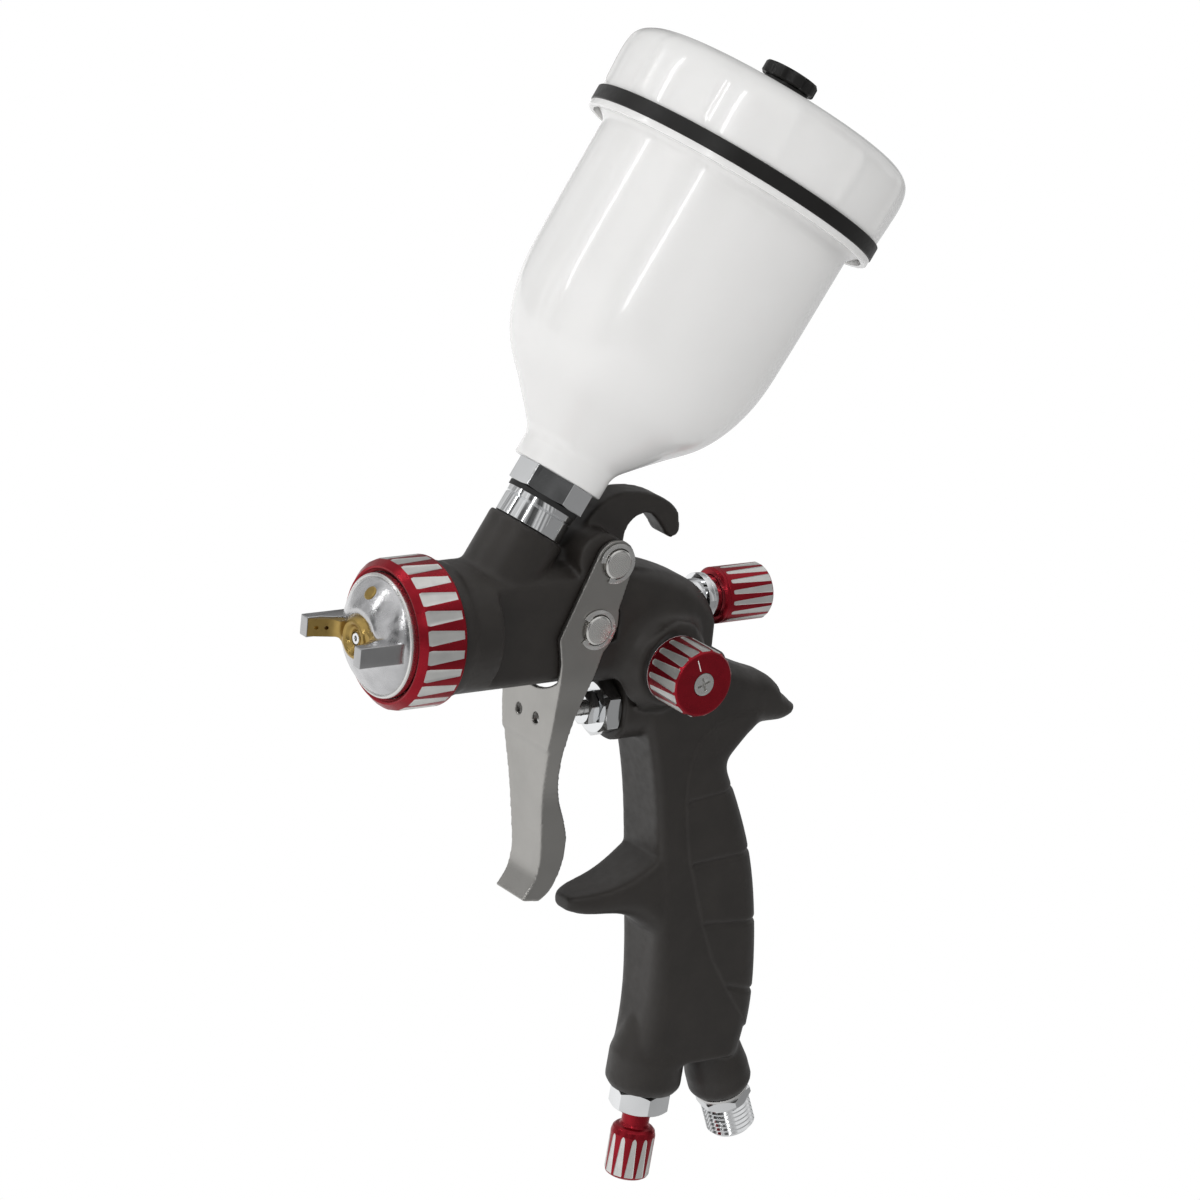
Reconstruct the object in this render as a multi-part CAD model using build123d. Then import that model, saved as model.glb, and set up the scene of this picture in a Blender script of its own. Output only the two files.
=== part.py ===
from build123d import *
import math
import os

# Gravity-feed spray gun.  Every piece is drawn in the gun's working frame: the spray axis is X, the
# nozzle points along -X, Z is up and Y = 0 is the plane of symmetry.  It is written out with its
# origin moved to the end face of the air inlet.  All lengths are millimetres.

# ---- seats: where the main axes lie ----
cup_tilt = 30.9                  # the cup leans back this far from upright
cup_foot_x = 12.8                # where the cup's axis meets the spray axis
inlet_tilt = 22.0                # the air inlet leans back this far from straight down
inlet_end_x = 114.1
inlet_end_z = -152.9
regulator_tilt = 4.5             # the pressure regulator leans forward this far
regulator_x = 82.5
regulator_z = -136.9
valve_z = -26.4                  # height of the air valve below the spray axis
fan_x = 65.5
fan_z = -11.7
pivot_x = 46.5                   # the trigger's pivot
pivot_z = 17.1
needle_pin_x = 42.5              # the trigger's lower pin, on the spray axis

# ---- fits and wall thicknesses ----
turning_gap = 0.08               # radial clearance where one piece turns or slides in another
seat_gap = 0.05                  # clearance between fixed pieces that screw together
face_gap = 0.3                   # clearance between faces of pieces that move apart

# ---- body ----
barrel_radius = 16.9
collar_radius = 17.4
collar_end = 3.7
nose_radius = 17.0
nose_front = -5.5
barrel_end = 46.0
flank = 11.5                     # half-width of the body between the trigger's ears
flat_start = 12.5
neck_radius = 10.2
neck_top = 28.3
pivot_boss_radius = 6.6
hook_half_width = 4.2
grip_half_width = 9.5
valve_boss_radius = 9.2
valve_boss_front = 58.0
fan_boss_radius = 10.5
fan_boss_face = 16.2
regulator_lobe_radius = 10.1
inlet_lobe_radius = 8.6
inlet_lobe_end = -12.8           # measured along the inlet from its end face

# ---- trigger ----
pin_radius = 3.8
pin_reach = 14.8
clip_groove_radius = 3.0
clip_radius = 5.3
clip_thickness = 0.6
ear_outer = 13.3
trigger_sheet = 1.5
ear_radius = 5.9
needle_travel = 3.62

# ---- spray head ----
ring_radius = 19.1
ring_front = -13.2
ring_lip_radius = 15.83
cap_rim_radius = 15.75
cap_shoulder_radius = 16.9
cap_rim_x = -13.9
cap_face_x = -20.0
horn_tip_x = -28.3
horn_outer = 14.0
horn_half_height = 2.65
tip_x = -20.9

# ---- cup ----
cup_radius = 35.2
cup_rim = 149.0
cup_thread_radius = 36.45
lid_radius = 40.2
lid_bottom = 131.5
lid_top = 153.5
lid_ceiling = 150.4
nut_flats = 18.0
nut_bottom = 37.1
adaptor_radius = 9.2
adaptor_top = 35.6
spigot_radius = 7.0
channel_radius = 4.0

# ---- controls ----
fan_knob_radius = 9.0
fan_knob_base = 17.6
fan_knob_face = 30.0
fluid_knob_radius = 7.4
fluid_knob_front = 87.2
fluid_knob_rear = 103.0
bush_radius = 5.5
regulator_knob_radius = 6.0
regulator_knob_top = 10.6
regulator_knob_end = 24.8
inlet_thread_radius = 6.58       # major radius of a G1/4 thread
inlet_thread_length = 9.0


def lean(origin, out, across):
    """The plane that sits at a point and faces along a direction."""
    return Plane(origin=origin, x_dir=across, z_dir=out)


def tilt_back(angle):
    """Direction that leans back by an angle from upright."""
    return (math.sin(math.radians(angle)), 0, math.cos(math.radians(angle)))


def tilt_down(angle):
    """Direction that leans back by an angle from straight down."""
    return (math.sin(math.radians(angle)), 0, -math.cos(math.radians(angle)))


spray_line = lean((0, 0, 0), (1, 0, 0), (0, 1, 0))
valve_line = lean((0, 0, valve_z), (1, 0, 0), (0, 1, 0))
fan_line = lean((fan_x, 0, fan_z), (0, -1, 0), (1, 0, 0))
pivot_line = lean((pivot_x, 0, pivot_z), (0, -1, 0), (1, 0, 0))
needle_pin_line = lean((needle_pin_x, 0, 0), (0, -1, 0), (1, 0, 0))
cup_line = lean((cup_foot_x, 0, 0), tilt_back(cup_tilt), (0, 1, 0))
inlet_line = lean((inlet_end_x, 0, inlet_end_z), tilt_down(inlet_tilt), (0, 1, 0))
regulator_line = lean((regulator_x, 0, regulator_z), tilt_down(-regulator_tilt), (0, 1, 0))
row_origin = Location((-inlet_end_x, 0, -inlet_end_z))

nodes = {}


# ---- helpers ----
def rod(seat, radius, start, end):
    """A round bar along the seat's axis."""
    bar = Cylinder(radius, end - start, align=(Align.CENTER, Align.CENTER, Align.MIN))
    return seat * Pos(0, 0, start) * bar


def tube(seat, outer, inner, start, end):
    """A round sleeve along the seat's axis."""
    return rod(seat, outer, start, end) - rod(seat, inner, start - 1, end + 1)


def cone(seat, start_radius, end_radius, start, end):
    """A tapered bar along the seat's axis."""
    bar = Cone(start_radius, end_radius, end - start, align=(Align.CENTER, Align.CENTER, Align.MIN))
    return seat * Pos(0, 0, start) * bar


def turned(seat, outline):
    """A lathe-turned piece: an outline of (radius, height) points spun about the seat's axis."""
    edge = Polyline(*[(radius, 0, height) for radius, height in outline], close=True)
    return seat * revolve(make_face(edge), Axis.Z, 360)


def hexagon(seat, across_flats, start, end, turn=0):
    """A hexagonal bar with its outer corners chamfered at both ends."""
    corner = across_flats / math.sqrt(3)
    prism = extrude(RegularPolygon(corner, 6, rotation=turn), end - start)
    bevel = (corner - across_flats / 2) * 0.9
    height = end - start
    barrel = turned(Plane.XY, [
        (0, 0), (corner - bevel, 0), (corner, bevel * 0.6),
        (corner, height - bevel * 0.6), (corner - bevel, height), (0, height)])
    return seat * Pos(0, 0, start) * (prism & barrel)


def slab(outline, half_width):
    """A flat piece with its outline in X and Z, as thick as twice the half-width."""
    face = make_face(outline)
    return extrude(Plane.XZ * face, half_width, both=True)


def coil(seat, radius, wire, start, end, turns):
    """An open helical spring."""
    path = Helix(pitch=(end - start) / turns, height=end - start, radius=radius)
    section = Plane(origin=path @ 0, z_dir=path % 0) * Circle(wire)
    return seat * Pos(0, 0, start) * sweep(section, path=path)


# ---- the cast body ----
def section(depth, width, far_corner, near_corner):
    """A rectangle across an axis with one radius on its two far corners and one on its near ones."""
    sketch = Rectangle(depth, width)
    sketch = fillet(sketch.vertices().group_by(Axis.X)[-1], far_corner)
    return fillet(sketch.vertices().group_by(Axis.X)[0], near_corner)


def lofted(sections, across):
    """A smooth piece through rounded sections: place, middle, depth, width and the two corner radii."""
    return loft([across(place) * Pos(middle, 0) * section(depth, width, far, near)
                 for place, middle, depth, width, far, near in sections])


def level(height):
    """A level plane at a height."""
    return Plane(origin=(0, 0, height), x_dir=(1, 0, 0), z_dir=(0, 0, 1))


def upright(place):
    """An upright plane across the spray axis, its first direction pointing up."""
    return Plane(origin=(place, 0, 0), x_dir=(0, 0, 1), z_dir=(1, 0, 0))


def handle():
    """The handle, from its foot to the body above: crisp front edges, and rounded for the palm."""
    width = 2 * grip_half_width
    spans = [(-128, 75.4, 108.6, 6.0), (-119, 76.8, 110.4, 5.4), (-107, 77.4, 110.8, 4.4),
             (-87, 76.0, 108.6, 3.0), (-62, 73.0, 101.6, 2.4), (-44, 69.6, 93.8, 2.4),
             (-30, 65.4, 91.0, 2.4), (-14, 60.0, 90.0, 3.0)]
    return lofted([(height, (front + rear) / 2, rear - front, width, 6.5, front_corner)
                   for height, front, rear, front_corner in spans], level)


def guard():
    """The finger guard: a tongue with a round tip and a crisp upper edge that swells into the handle."""
    return lofted([(50.2, -79.6, 3.4, 6.4, 1.4, 1.6), (54.0, -79.6, 5.4, 11.6, 1.8, 2.6),
                   (61.0, -79.2, 7.4, 15.0, 2.0, 3.6), (68.0, -78.6, 12.0, 17.0, 2.2, 5.8),
                   (74.0, -78.4, 20.0, 18.0, 2.4, 6.5), (82.0, -79.0, 34.0, 18.0, 4.0, 6.5)], upright)


def shoulder():
    """The rounded shoulder above the palm and the blunt spur that rests on the web of the hand."""
    return lofted([(80.0, -30.0, 40.0, 18.4, 6.0, 6.0), (90.0, -32.0, 31.4, 18.0, 6.0, 6.0),
                   (97.0, -29.7, 21.2, 16.4, 5.5, 5.5), (104.0, -29.2, 13.4, 13.6, 4.5, 4.5),
                   (110.0, -31.1, 9.6, 11.0, 3.6, 3.6), (115.2, -32.8, 4.8, 7.4, 2.1, 2.1),
                   (117.2, -33.2, 1.8, 4.4, 0.8, 0.8)], upright)


def block():
    """The body behind the barrel: its top slopes down and its flanks draw in toward the rear."""
    return lofted([(40.0, -1.4, 31.0, 2 * flank, 4.6, 6.0), (58.0, -2.0, 30.0, 2 * flank, 5.4, 7.0),
                   (70.0, -3.6, 26.6, 21.6, 6.4, 7.5), (78.0, -5.4, 22.8, 19.4, 7.0, 7.5),
                   (83.6, -8.0, 17.6, 16.4, 7.0, 7.0)], upright)


def hook_outline():
    """Side outline of the hanging hook and the web that carries it."""
    crown = (53.0, 32.0)
    return Curve() + [
        Line((33.0, 12.0), (36.0, 19.0)),
        Spline((36.0, 19.0), (42.0, 24.6), (47.0, 29.4), crown, tangents=[(0.6, 1), (1, 0.2)]),
        Spline(crown, (58.6, 31.8), (65.0, 30.1), (70.6, 26.4), (72.2, 20.6),
               tangents=[(1, 0.1), (0.05, -1)]),
        ThreePointArc((72.2, 20.6), (70.4, 18.7), (68.3, 19.7)),
        Spline((68.3, 19.7), (66.0, 22.8), (62.0, 25.9), (57.6, 24.8), (55.0, 18.0),
               tangents=[(-0.5, 1), (0, -1)]),
        Line((55.0, 18.0), (55.0, 8.0)),
        Line((55.0, 8.0), (33.0, 12.0))]


def lobe(seat, top, end, radius, top_radius):
    """A round foot that carries a threaded fitting: it swells out of the handle and is drawn in below."""
    return turned(seat, [(0, top), (top_radius, top), (radius, top + 14), (radius, end - 2.2),
                         (radius - 1.6, end), (0, end)])


def cast_shape():
    """The outside of the casting, before it is bored."""
    barrel = rod(spray_line, barrel_radius, collar_end, barrel_end)
    for side in (-1, 1):
        barrel -= Pos(flat_start + 30, side * (flank + 10), 0) * Box(60, 20, 60)
    collar = rod(spray_line, collar_radius, face_gap, collar_end)
    nose = rod(spray_line, nose_radius, nose_front, face_gap)
    neck = rod(cup_line, neck_radius, 0, neck_top)
    pivot_boss = rod(pivot_line, ear_radius - 0.3, -flank, flank)
    pivot_boss += Pos(-3.0, 0, 0.8) * rod(pivot_line, pivot_boss_radius, -flank, flank)
    hook = slab(hook_outline(), hook_half_width)
    grip = handle() + guard() + shoulder()
    valve_boss = rod(valve_line, valve_boss_radius, valve_boss_front, 76)
    fan_boss = rod(fan_line, fan_boss_radius, 0, fan_boss_face)
    fan_swell = cone(fan_line, 14.0, fan_boss_radius + 0.1, 10.5, 15.6)
    regulator_lobe = lobe(regulator_line, -24, 0, regulator_lobe_radius, 6.4)
    inlet_lobe = lobe(inlet_line, -34, inlet_lobe_end, inlet_lobe_radius, 6.8)
    return (barrel + collar + nose + neck + pivot_boss + block() + hook + grip
            + valve_boss + fan_boss + fan_swell + regulator_lobe + inlet_lobe)


def bored_spray_line():
    """The bore along the spray axis, from the fluid tip's seat to the rear bush."""
    return (rod(spray_line, 5.5, nose_front - 1, 6)
            + rod(spray_line, 4.5, 5, 18)
            + rod(spray_line, 1.6, 17, 27)
            + rod(spray_line, 3.15, 26, 37)
            + rod(spray_line, 4.8, 36, 69)
            + rod(spray_line, 5.05, 68, 90)
            + rod(spray_line, 6.6, 82.4, 95))


def bored_air_way():
    """The compressed-air way: inlet, valve chamber, and the drilling to the front of the nose."""
    return (rod(valve_line, 6.0, valve_boss_front - 1, 90.5)
            + rod(inlet_line, 5.95, -25, inlet_lobe_end + 1)
            + rod(regulator_line, 5.5, -13, 1)
            + rod(regulator_line, 2.4, -17.6, -12)
            + Pos(90, 0, -76) * Rot(0, -10.5, 0) * Cylinder(3.2, 104)
            + Pos(66, 0, -20) * Cylinder(2.0, 16)
            + rod(lean((0, 0, -12.2), (1, 0, 0), (0, 1, 0)), 1.6, nose_front - 1, 66))


def bored_cross_holes():
    """Holes across the body: the two trigger pins, the fan valve and the cup's channel."""
    slot_front = needle_pin_x - pin_radius - 0.4
    slot_rear = needle_pin_x + needle_travel + pin_radius + 0.6
    slot = Box(slot_rear - slot_front, 40, 9.0)
    return (Pos((slot_front + slot_rear) / 2, 0, -0.3) * slot
            + rod(pivot_line, pin_radius + seat_gap, -20, 20)
            + rod(fan_line, 5.2, 4, fan_boss_face + 1)
            + rod(fan_line, 2.0, -1, 5)
            + rod(cup_line, channel_radius, 0, neck_top)
            + rod(cup_line, 7.5, 20, neck_top + 1))


nodes["gun_body"] = cast_shape() - bored_spray_line() - bored_air_way() - bored_cross_holes()


# ---- spray head ----
def fluid_tip():
    """The paint nozzle, screwed into the body and bored for the needle."""
    outside = turned(spray_line, [
        (0, 5.5), (5.45, 5.5), (5.45, -5.6), (7.0, -5.6), (7.0, -9.4), (5.2, -9.6),
        (4.6, -14.0), (1.9, -18.6), (1.5, -19.4), (1.5, tip_x), (0, tip_x)])
    inside = turned(spray_line, [
        (0, 6.5), (3.4, 6.5), (3.4, -11.0), (1.6, -14.0), (0.6, tip_x - 0.1), (0, tip_x - 0.1)])
    return outside - inside


def air_distributor():
    """The ring that shares the air between the cap's centre and its horns."""
    plate = tube(spray_line, 15.2, 7.1, -7.6, -5.6)
    for step in range(12):
        angle = math.radians(step * 30 + 15)
        hole = rod(spray_line, 0.9, -9, -4)
        plate -= Pos(0, 11.2 * math.cos(angle), 11.2 * math.sin(angle)) * hole
    return plate


def horn(side):
    """One of the two air-cap horns, with its two side jets."""
    outline = Polyline(
        (horn_tip_x, 10.4 * side), (horn_tip_x, horn_outer * side), (-14.6, horn_outer * side),
        (-14.6, 5.6 * side), (-19.2, 6.4 * side), close=True)
    block = extrude(make_face(outline), horn_half_height, both=True)
    for jet_x in (-26.0, -23.2):
        block -= Pos(jet_x, 9.0 * side, 0) * Rot(90, 0, 0) * Cylinder(0.55, 4)
    return block


def air_cap():
    """The domed cap with its raised centre boss, two horns and a hollow back."""
    outside = turned(spray_line, [
        (0, -8.6), (cap_shoulder_radius, -8.6), (cap_shoulder_radius, -10.2),
        (cap_rim_radius, -10.2), (cap_rim_radius, cap_rim_x), (15.2, cap_rim_x - 0.6),
        (12.4, -17.0), (9.4, -18.9), (6.6, cap_face_x), (5.4, cap_face_x - 0.2),
        (4.8, cap_face_x - 1.6), (3.4, cap_face_x - 1.9), (0, cap_face_x - 1.0)])
    outside += horn(1) + horn(-1)
    inside = turned(spray_line, [
        (0, -8.0), (14.6, -8.0), (14.6, -11.5), (11.0, -15.4), (6.8, -17.2), (5.6, -17.4),
        (2.5, -19.6), (2.1, -20.0), (2.1, -23.0), (0, -23.0)])
    return outside - inside


def air_cap_ring():
    """The knurled ring that screws on the nose and holds the cap."""
    return turned(spray_line, [
        (nose_radius + turning_gap, 0), (ring_radius - 0.5, 0), (ring_radius, -0.8),
        (ring_radius - 0.6, ring_front + 1.4), (ring_radius - 2.2, ring_front),
        (16.6, ring_front + 0.4), (ring_lip_radius, ring_front + 0.9),
        (ring_lip_radius, -10.95), (17.08, -10.95), (17.08, -8.3), (17.7, -8.3), (17.7, -7.5),
        (nose_radius + turning_gap, -7.5)])


nodes["fluid_tip"] = fluid_tip()
nodes["air_distributor"] = air_distributor()
nodes["air_cap"] = air_cap()
nodes["air_cap_ring"] = air_cap_ring()
nodes["cap_slip_washer"] = tube(spray_line, 17.0, ring_lip_radius + 0.1, -10.9, -10.25)
nodes["cap_wire_clip"] = (tube(spray_line, 17.6, 16.2, -8.25, -7.6)
                          - Pos(-8, 0, -17) * Box(3, 6, 6))


# ---- needle line ----
def needle():
    """The paint needle: a ground taper at the front, plain behind."""
    return turned(spray_line, [
        (0, -20.4), (0.3, -20.4), (0.42, -20.0), (1.0, -14.6), (1.25, -11.0), (1.25, 85.0), (0, 85.0)])


collar_front = needle_pin_x + pin_radius + 0.3
nodes["needle"] = needle()
nodes["needle_collar"] = tube(spray_line, 4.2, 1.27, collar_front, 52.0)
nodes["needle_locknut"] = hexagon(spray_line, 4.6, 52.1, 54.6) - rod(spray_line, 1.27, 50, 56)
nodes["needle_packing"] = tube(spray_line, 3.1, 1.33, 27.1, 30.0)
nodes["packing_spring"] = coil(spray_line, 2.3, 0.3, 30.4, 32.6, 3)
nodes["packing_screw"] = tube(spray_line, 3.1, 1.4, 33.0, 36.6)
nodes["needle_spring"] = coil(spray_line, 3.3, 0.4, 52.6, 94.2, 14)
nodes["fluid_bush"] = (tube(spray_line, 5.0, 4.3, 70.0, 82.6)
                       + tube(spray_line, bush_radius, 4.3, 84.8, 95.2)
                       + tube(spray_line, 6.4, 4.3, 82.6, 84.8))
nodes["spring_seat"] = rod(spray_line, 4.15, 95.3, 97.4) + rod(spray_line, 1.6, 93.0, 95.4)
nodes["fluid_knob"] = turned(spray_line, [
    (bush_radius + turning_gap, fluid_knob_front), (6.6, fluid_knob_front),
    (fluid_knob_radius, fluid_knob_front + 0.8), (fluid_knob_radius, fluid_knob_rear - 1.2),
    (fluid_knob_radius - 1.2, fluid_knob_rear), (0, fluid_knob_rear), (0, 97.7),
    (4.2, 97.7), (bush_radius + turning_gap, 97.7)])


# ---- trigger ----
def trigger_side():
    """Side outline of the whole trigger: ears above, finger lever below."""
    ear_front = (pivot_x - 5.5, pivot_z + 2.2)
    ear_rear = (pivot_x + 5.4, pivot_z - 1.6)
    lip_rear = (38.4, -75.7)
    lip_front = (33.2, -75.0)
    return Curve() + [
        ThreePointArc(ear_front, (pivot_x, pivot_z + ear_radius), ear_rear),
        Line(ear_rear, (48.9, 4.4)),
        ThreePointArc((48.9, 4.4), (48.6, -1.5), (45.6, -6.2)),
        Line((45.6, -6.2), (41.0, -20.5)),
        Spline((41.0, -20.5), (38.7, -34.0), (40.8, -48.0), (44.8, -60.0), (43.2, -70.0), lip_rear,
               tangents=[(-0.35, -1), (-1, -0.6)]),
        Line(lip_rear, lip_front),
        Spline(lip_front, (36.6, -69.0), (36.8, -60.0), (35.0, -46.0), (33.4, -32.0), (33.2, -18.0),
               tangents=[(0.6, 0.8), (0.0, 1)]),
        Line((33.2, -18.0), (33.0, -8.6)),
        Line((33.0, -8.6), (31.7, -1.9)),
        Line((31.7, -1.9), ear_front)]


def trigger_column(inset):
    """The trigger's front outline pushed through from front to back."""
    half = [(ear_outer, 40.0), (ear_outer, -13.6), (12.2, -20.0), (11.6, -27.0), (7.6, -46.0), (6.6, -64.0),
            (6.2, -80.0)]
    right = [(width - inset, height) for width, height in half]
    left = [(-width, height) for width, height in reversed(right)]
    face = make_face(Polyline(*(right + left), close=True))
    return extrude(Plane.YZ * face, 120, both=True)


def trigger():
    """The pressed-steel trigger: two ears joined by a front plate below the barrel."""
    shell = slab(trigger_side(), ear_outer) & trigger_column(0)
    behind_plate = Pos(trigger_sheet, 0, 0) * slab(trigger_side(), 30)
    behind_plate += Pos(65, 0, -28) * Box(50, 60, 110)
    shell -= behind_plate & trigger_column(trigger_sheet)
    ear_gap = 2 * (ear_outer - trigger_sheet)
    shell -= Pos(40, 0, 13.4) * Box(80, ear_gap, 53.6)
    shell -= rod(spray_line, barrel_radius + 1.1, 20, 60) & Pos(40, 0, 0) * Box(80, ear_gap, 60)
    for side_y in (-3.84, 3.84):
        shell -= Pos(33, side_y, -25.8) * Rot(0, 90, 0) * Cylinder(1.1, 12)
    for line in (pivot_line, needle_pin_line):
        shell -= rod(line, pin_radius + seat_gap, -30, 30)
    return shell


def grooved_pin(seat):
    """A plain pin with a clip groove near each end."""
    pin = rod(seat, pin_radius, -pin_reach, pin_reach)
    for start in (-ear_outer - 0.85, ear_outer + 0.1):
        pin -= tube(seat, pin_radius + 1, clip_groove_radius, start, start + 0.75)
    return pin


def clip_pair(seat):
    """The two E-clips that keep a pin in the ears."""
    clips = []
    for start in (-ear_outer - 0.8, ear_outer + 0.15):
        ring = tube(seat, clip_radius, clip_groove_radius + 0.05, start, start + clip_thickness)
        mouth = seat * Pos(-3.2, -4.4, start) * Rot(0, 0, 35) * Box(3.0, 6.0, 4.0)
        clips.append(ring - mouth)
    return Compound(children=clips)


def needle_pin():
    """The lower pin, slotted across its middle so that the needle passes through it."""
    return grooved_pin(needle_pin_line) - Pos(needle_pin_x, 0, -0.13) * Box(12, 2.9, 5.15)


nodes["trigger"] = trigger()
nodes["trigger_pivot_pin"] = grooved_pin(pivot_line)
nodes["pivot_pin_clips"] = clip_pair(pivot_line)
nodes["needle_pin"] = needle_pin()
nodes["needle_pin_clips"] = clip_pair(needle_pin_line)


# ---- air valve ----
stem_front = 34.8
nodes["air_valve_body"] = (hexagon(valve_line, 14.0, 53.0, valve_boss_front - 0.05)
                           + rod(valve_line, 5.95, valve_boss_front - 0.1, 66.0)
                           - rod(valve_line, 2.08, 40, 70) - rod(valve_line, 3.6, 50, 62))
nodes["air_valve_packing"] = tube(valve_line, 3.5, 2.08, 56.6, 61.6)
nodes["air_valve_gland_nut"] = (hexagon(valve_line, 8.4, 49.6, 52.9)
                                + rod(valve_line, 3.55, 52.8, 56.4) - rod(valve_line, 2.08, 40, 60))
nodes["air_valve_stem"] = turned(valve_line, [
    (0, stem_front), (0.9, stem_front + 0.2), (1.6, stem_front + 0.9), (2.0, stem_front + 2.2),
    (2.0, 67.5), (1.2, 67.5), (1.2, 73.0), (0, 73.0)])
nodes["air_valve_seat"] = tube(valve_line, 5.4, 2.5, 66.1, 67.4)
nodes["air_valve_poppet"] = tube(valve_line, 4.4, 1.22, 67.6, 71.4)
nodes["air_valve_spring"] = coil(valve_line, 3.4, 0.45, 71.9, 89.9, 7)


# ---- fan control ----
nodes["fan_bush"] = (tube(fan_line, 5.1, 3.0 + turning_gap, 8.0, fan_boss_face)
                     + tube(fan_line, 8.4, 3.0 + turning_gap, fan_boss_face + 0.05, 17.2)
                     + tube(fan_line, 4.6, 3.0 + turning_gap, fan_boss_face - 0.5, fan_boss_face + 0.5))
nodes["fan_stem_seal"] = tube(fan_line, 3.02, 2.25, 10.05, 11.15)
nodes["fan_stem"] = turned(fan_line, [
    (0, 4.4), (0.5, 4.4), (1.6, 6.0), (2.2, 6.1), (2.2, 7.6), (3.0, 7.9), (3.0, 10.0), (2.2, 10.0),
    (2.2, 11.2), (3.0, 11.2), (3.0, 27.0), (0, 27.0)])
nodes["fan_knob"] = turned(fan_line, [
    (3.05, fan_knob_base), (fan_knob_radius, fan_knob_base), (fan_knob_radius, fan_knob_face - 0.7),
    (fan_knob_radius - 0.7, fan_knob_face), (2.95, fan_knob_face), (2.95, 27.6), (3.05, 27.1)])
nodes["fan_knob_screw"] = (rod(fan_line, 2.85, 27.7, fan_knob_face - 0.1)
                           - fan_line * Pos(0, 0, fan_knob_face) * Box(3.4, 0.7, 1.6)
                           - fan_line * Pos(0, 0, fan_knob_face) * Box(0.7, 3.4, 1.6))


# ---- pressure regulator and air inlet ----
nodes["regulator_body"] = (hexagon(regulator_line, 14.0, 0.05, 6.0)
                           + rod(regulator_line, 5.45, -12, 0.1)
                           - rod(regulator_line, 3.7 + turning_gap, -9.4, 7)
                           - rod(regulator_line, 2.0, -13, -9))
nodes["regulator_seal"] = tube(regulator_line, 3.7, 1.65, -5.9, -4.7)
nodes["regulator_spindle"] = (cone(regulator_line, 0.6, 1.6, -14, -11.5)
                              + rod(regulator_line, 1.6, -11.5, -3.0))
nodes["regulator_knob"] = turned(regulator_line, [
    (0, -2.95), (3.7, -2.95), (3.7, regulator_knob_top - 0.6), (4.2, regulator_knob_top),
    (5.4, regulator_knob_top + 0.2), (regulator_knob_radius - 0.2, regulator_knob_top + 1.2),
    (regulator_knob_radius, regulator_knob_end - 1.0), (regulator_knob_radius - 0.9, regulator_knob_end),
    (0, regulator_knob_end)])
nodes["air_inlet"] = (rod(inlet_line, inlet_thread_radius, -inlet_thread_length, 0)
                      + hexagon(inlet_line, 13.0, inlet_lobe_end + 0.75, -inlet_thread_length)
                      + rod(inlet_line, 5.9, -24, inlet_lobe_end + 0.8)
                      - rod(inlet_line, 3.4, -26, 1))
nodes["inlet_washer"] = tube(inlet_line, 7.0, 6.0, inlet_lobe_end + 0.05, inlet_lobe_end + 0.7)


# ---- cup ----
def cup_outside():
    """Outer outline of the cup, from the skirt up to the rim, as (radius, height)."""
    bowl = Spline((13.9, 51.9), (20.4, 59.2), (27.4, 66.8), (31.7, 75.0), (34.2, 85.0), (34.8, 98.0),
                  tangents=[(0.7, 1), (0.02, 1)])
    return Curve() + [
        Polyline((0, 43.3), (12.2, 43.3), (12.2, 48.5)),
        Spline((12.2, 48.5), (12.7, 50.2), (13.9, 51.9), tangents=[(0, 1), (0.7, 1)]),
        bowl,
        Polyline((34.8, 98.0), (cup_radius, 126.5), (38.4, 129.2), (38.4, 131.2),
                 (cup_thread_radius, 131.2), (cup_thread_radius, cup_rim), (0, cup_rim), (0, 43.3))]


def cup_inside():
    """Inner outline of the cup: one wall inside the outer one."""
    bowl = Spline((6.0, 50.2), (18.6, 60.0), (25.7, 67.4), (30.0, 75.8), (32.4, 85.6), (33.0, 98.0),
                  tangents=[(1, 0.55), (0.02, 1)])
    return Curve() + [
        Line((0, 50.2), (6.0, 50.2)),
        bowl,
        Polyline((33.0, 98.0), (33.4, 126.5), (34.2, 131.2), (34.2, cup_rim + 1), (0, cup_rim + 1),
                 (0, 50.2))]


def cup():
    """The nylon cup, with a pocket below for its hexagonal nut."""
    outside = cup_line * revolve(Plane.XZ * make_face(cup_outside()), Axis.Z, 360)
    inside = cup_line * revolve(Plane.XZ * make_face(cup_inside()), Axis.Z, 360)
    return outside - inside - rod(cup_line, 6.2, 42, 55) - rod(cup_line, 10.5, 42, 46.1)


def lid():
    """The screw lid: a ribless shell with a rounded shoulder and a vent hole."""
    shoulder = 9.0
    outline = Curve() + [
        Polyline((38.95, lid_bottom), (38.95, 133.2), (39.6, 133.2), (lid_radius, 143.0)),
        Spline((lid_radius, 143.0), (38.9, 149.6), (lid_radius - shoulder, 152.8),
               tangents=[(0.05, 1), (-1, 0.25)]),
        Polyline((lid_radius - shoulder, 152.8), (12.0, lid_top), (2.5, lid_top), (2.5, lid_ceiling),
                 (cup_thread_radius + turning_gap, lid_ceiling),
                 (cup_thread_radius + turning_gap, lid_bottom), (38.95, lid_bottom))]
    return cup_line * revolve(Plane.XZ * make_face(outline), Axis.Z, 360)


def strainer():
    """The pocket filter that stands in the cup's outlet."""
    shell = tube(cup_line, 5.8, 5.2, 44.7, 68.0) + rod(cup_line, 5.8, 68.0, 68.8)
    for step in range(6):
        slot = Pos(0, 0, 58.5) * Rot(0, 0, step * 30) * Box(14, 1.2, 15)
        shell -= cup_line * slot
    return shell


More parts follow.
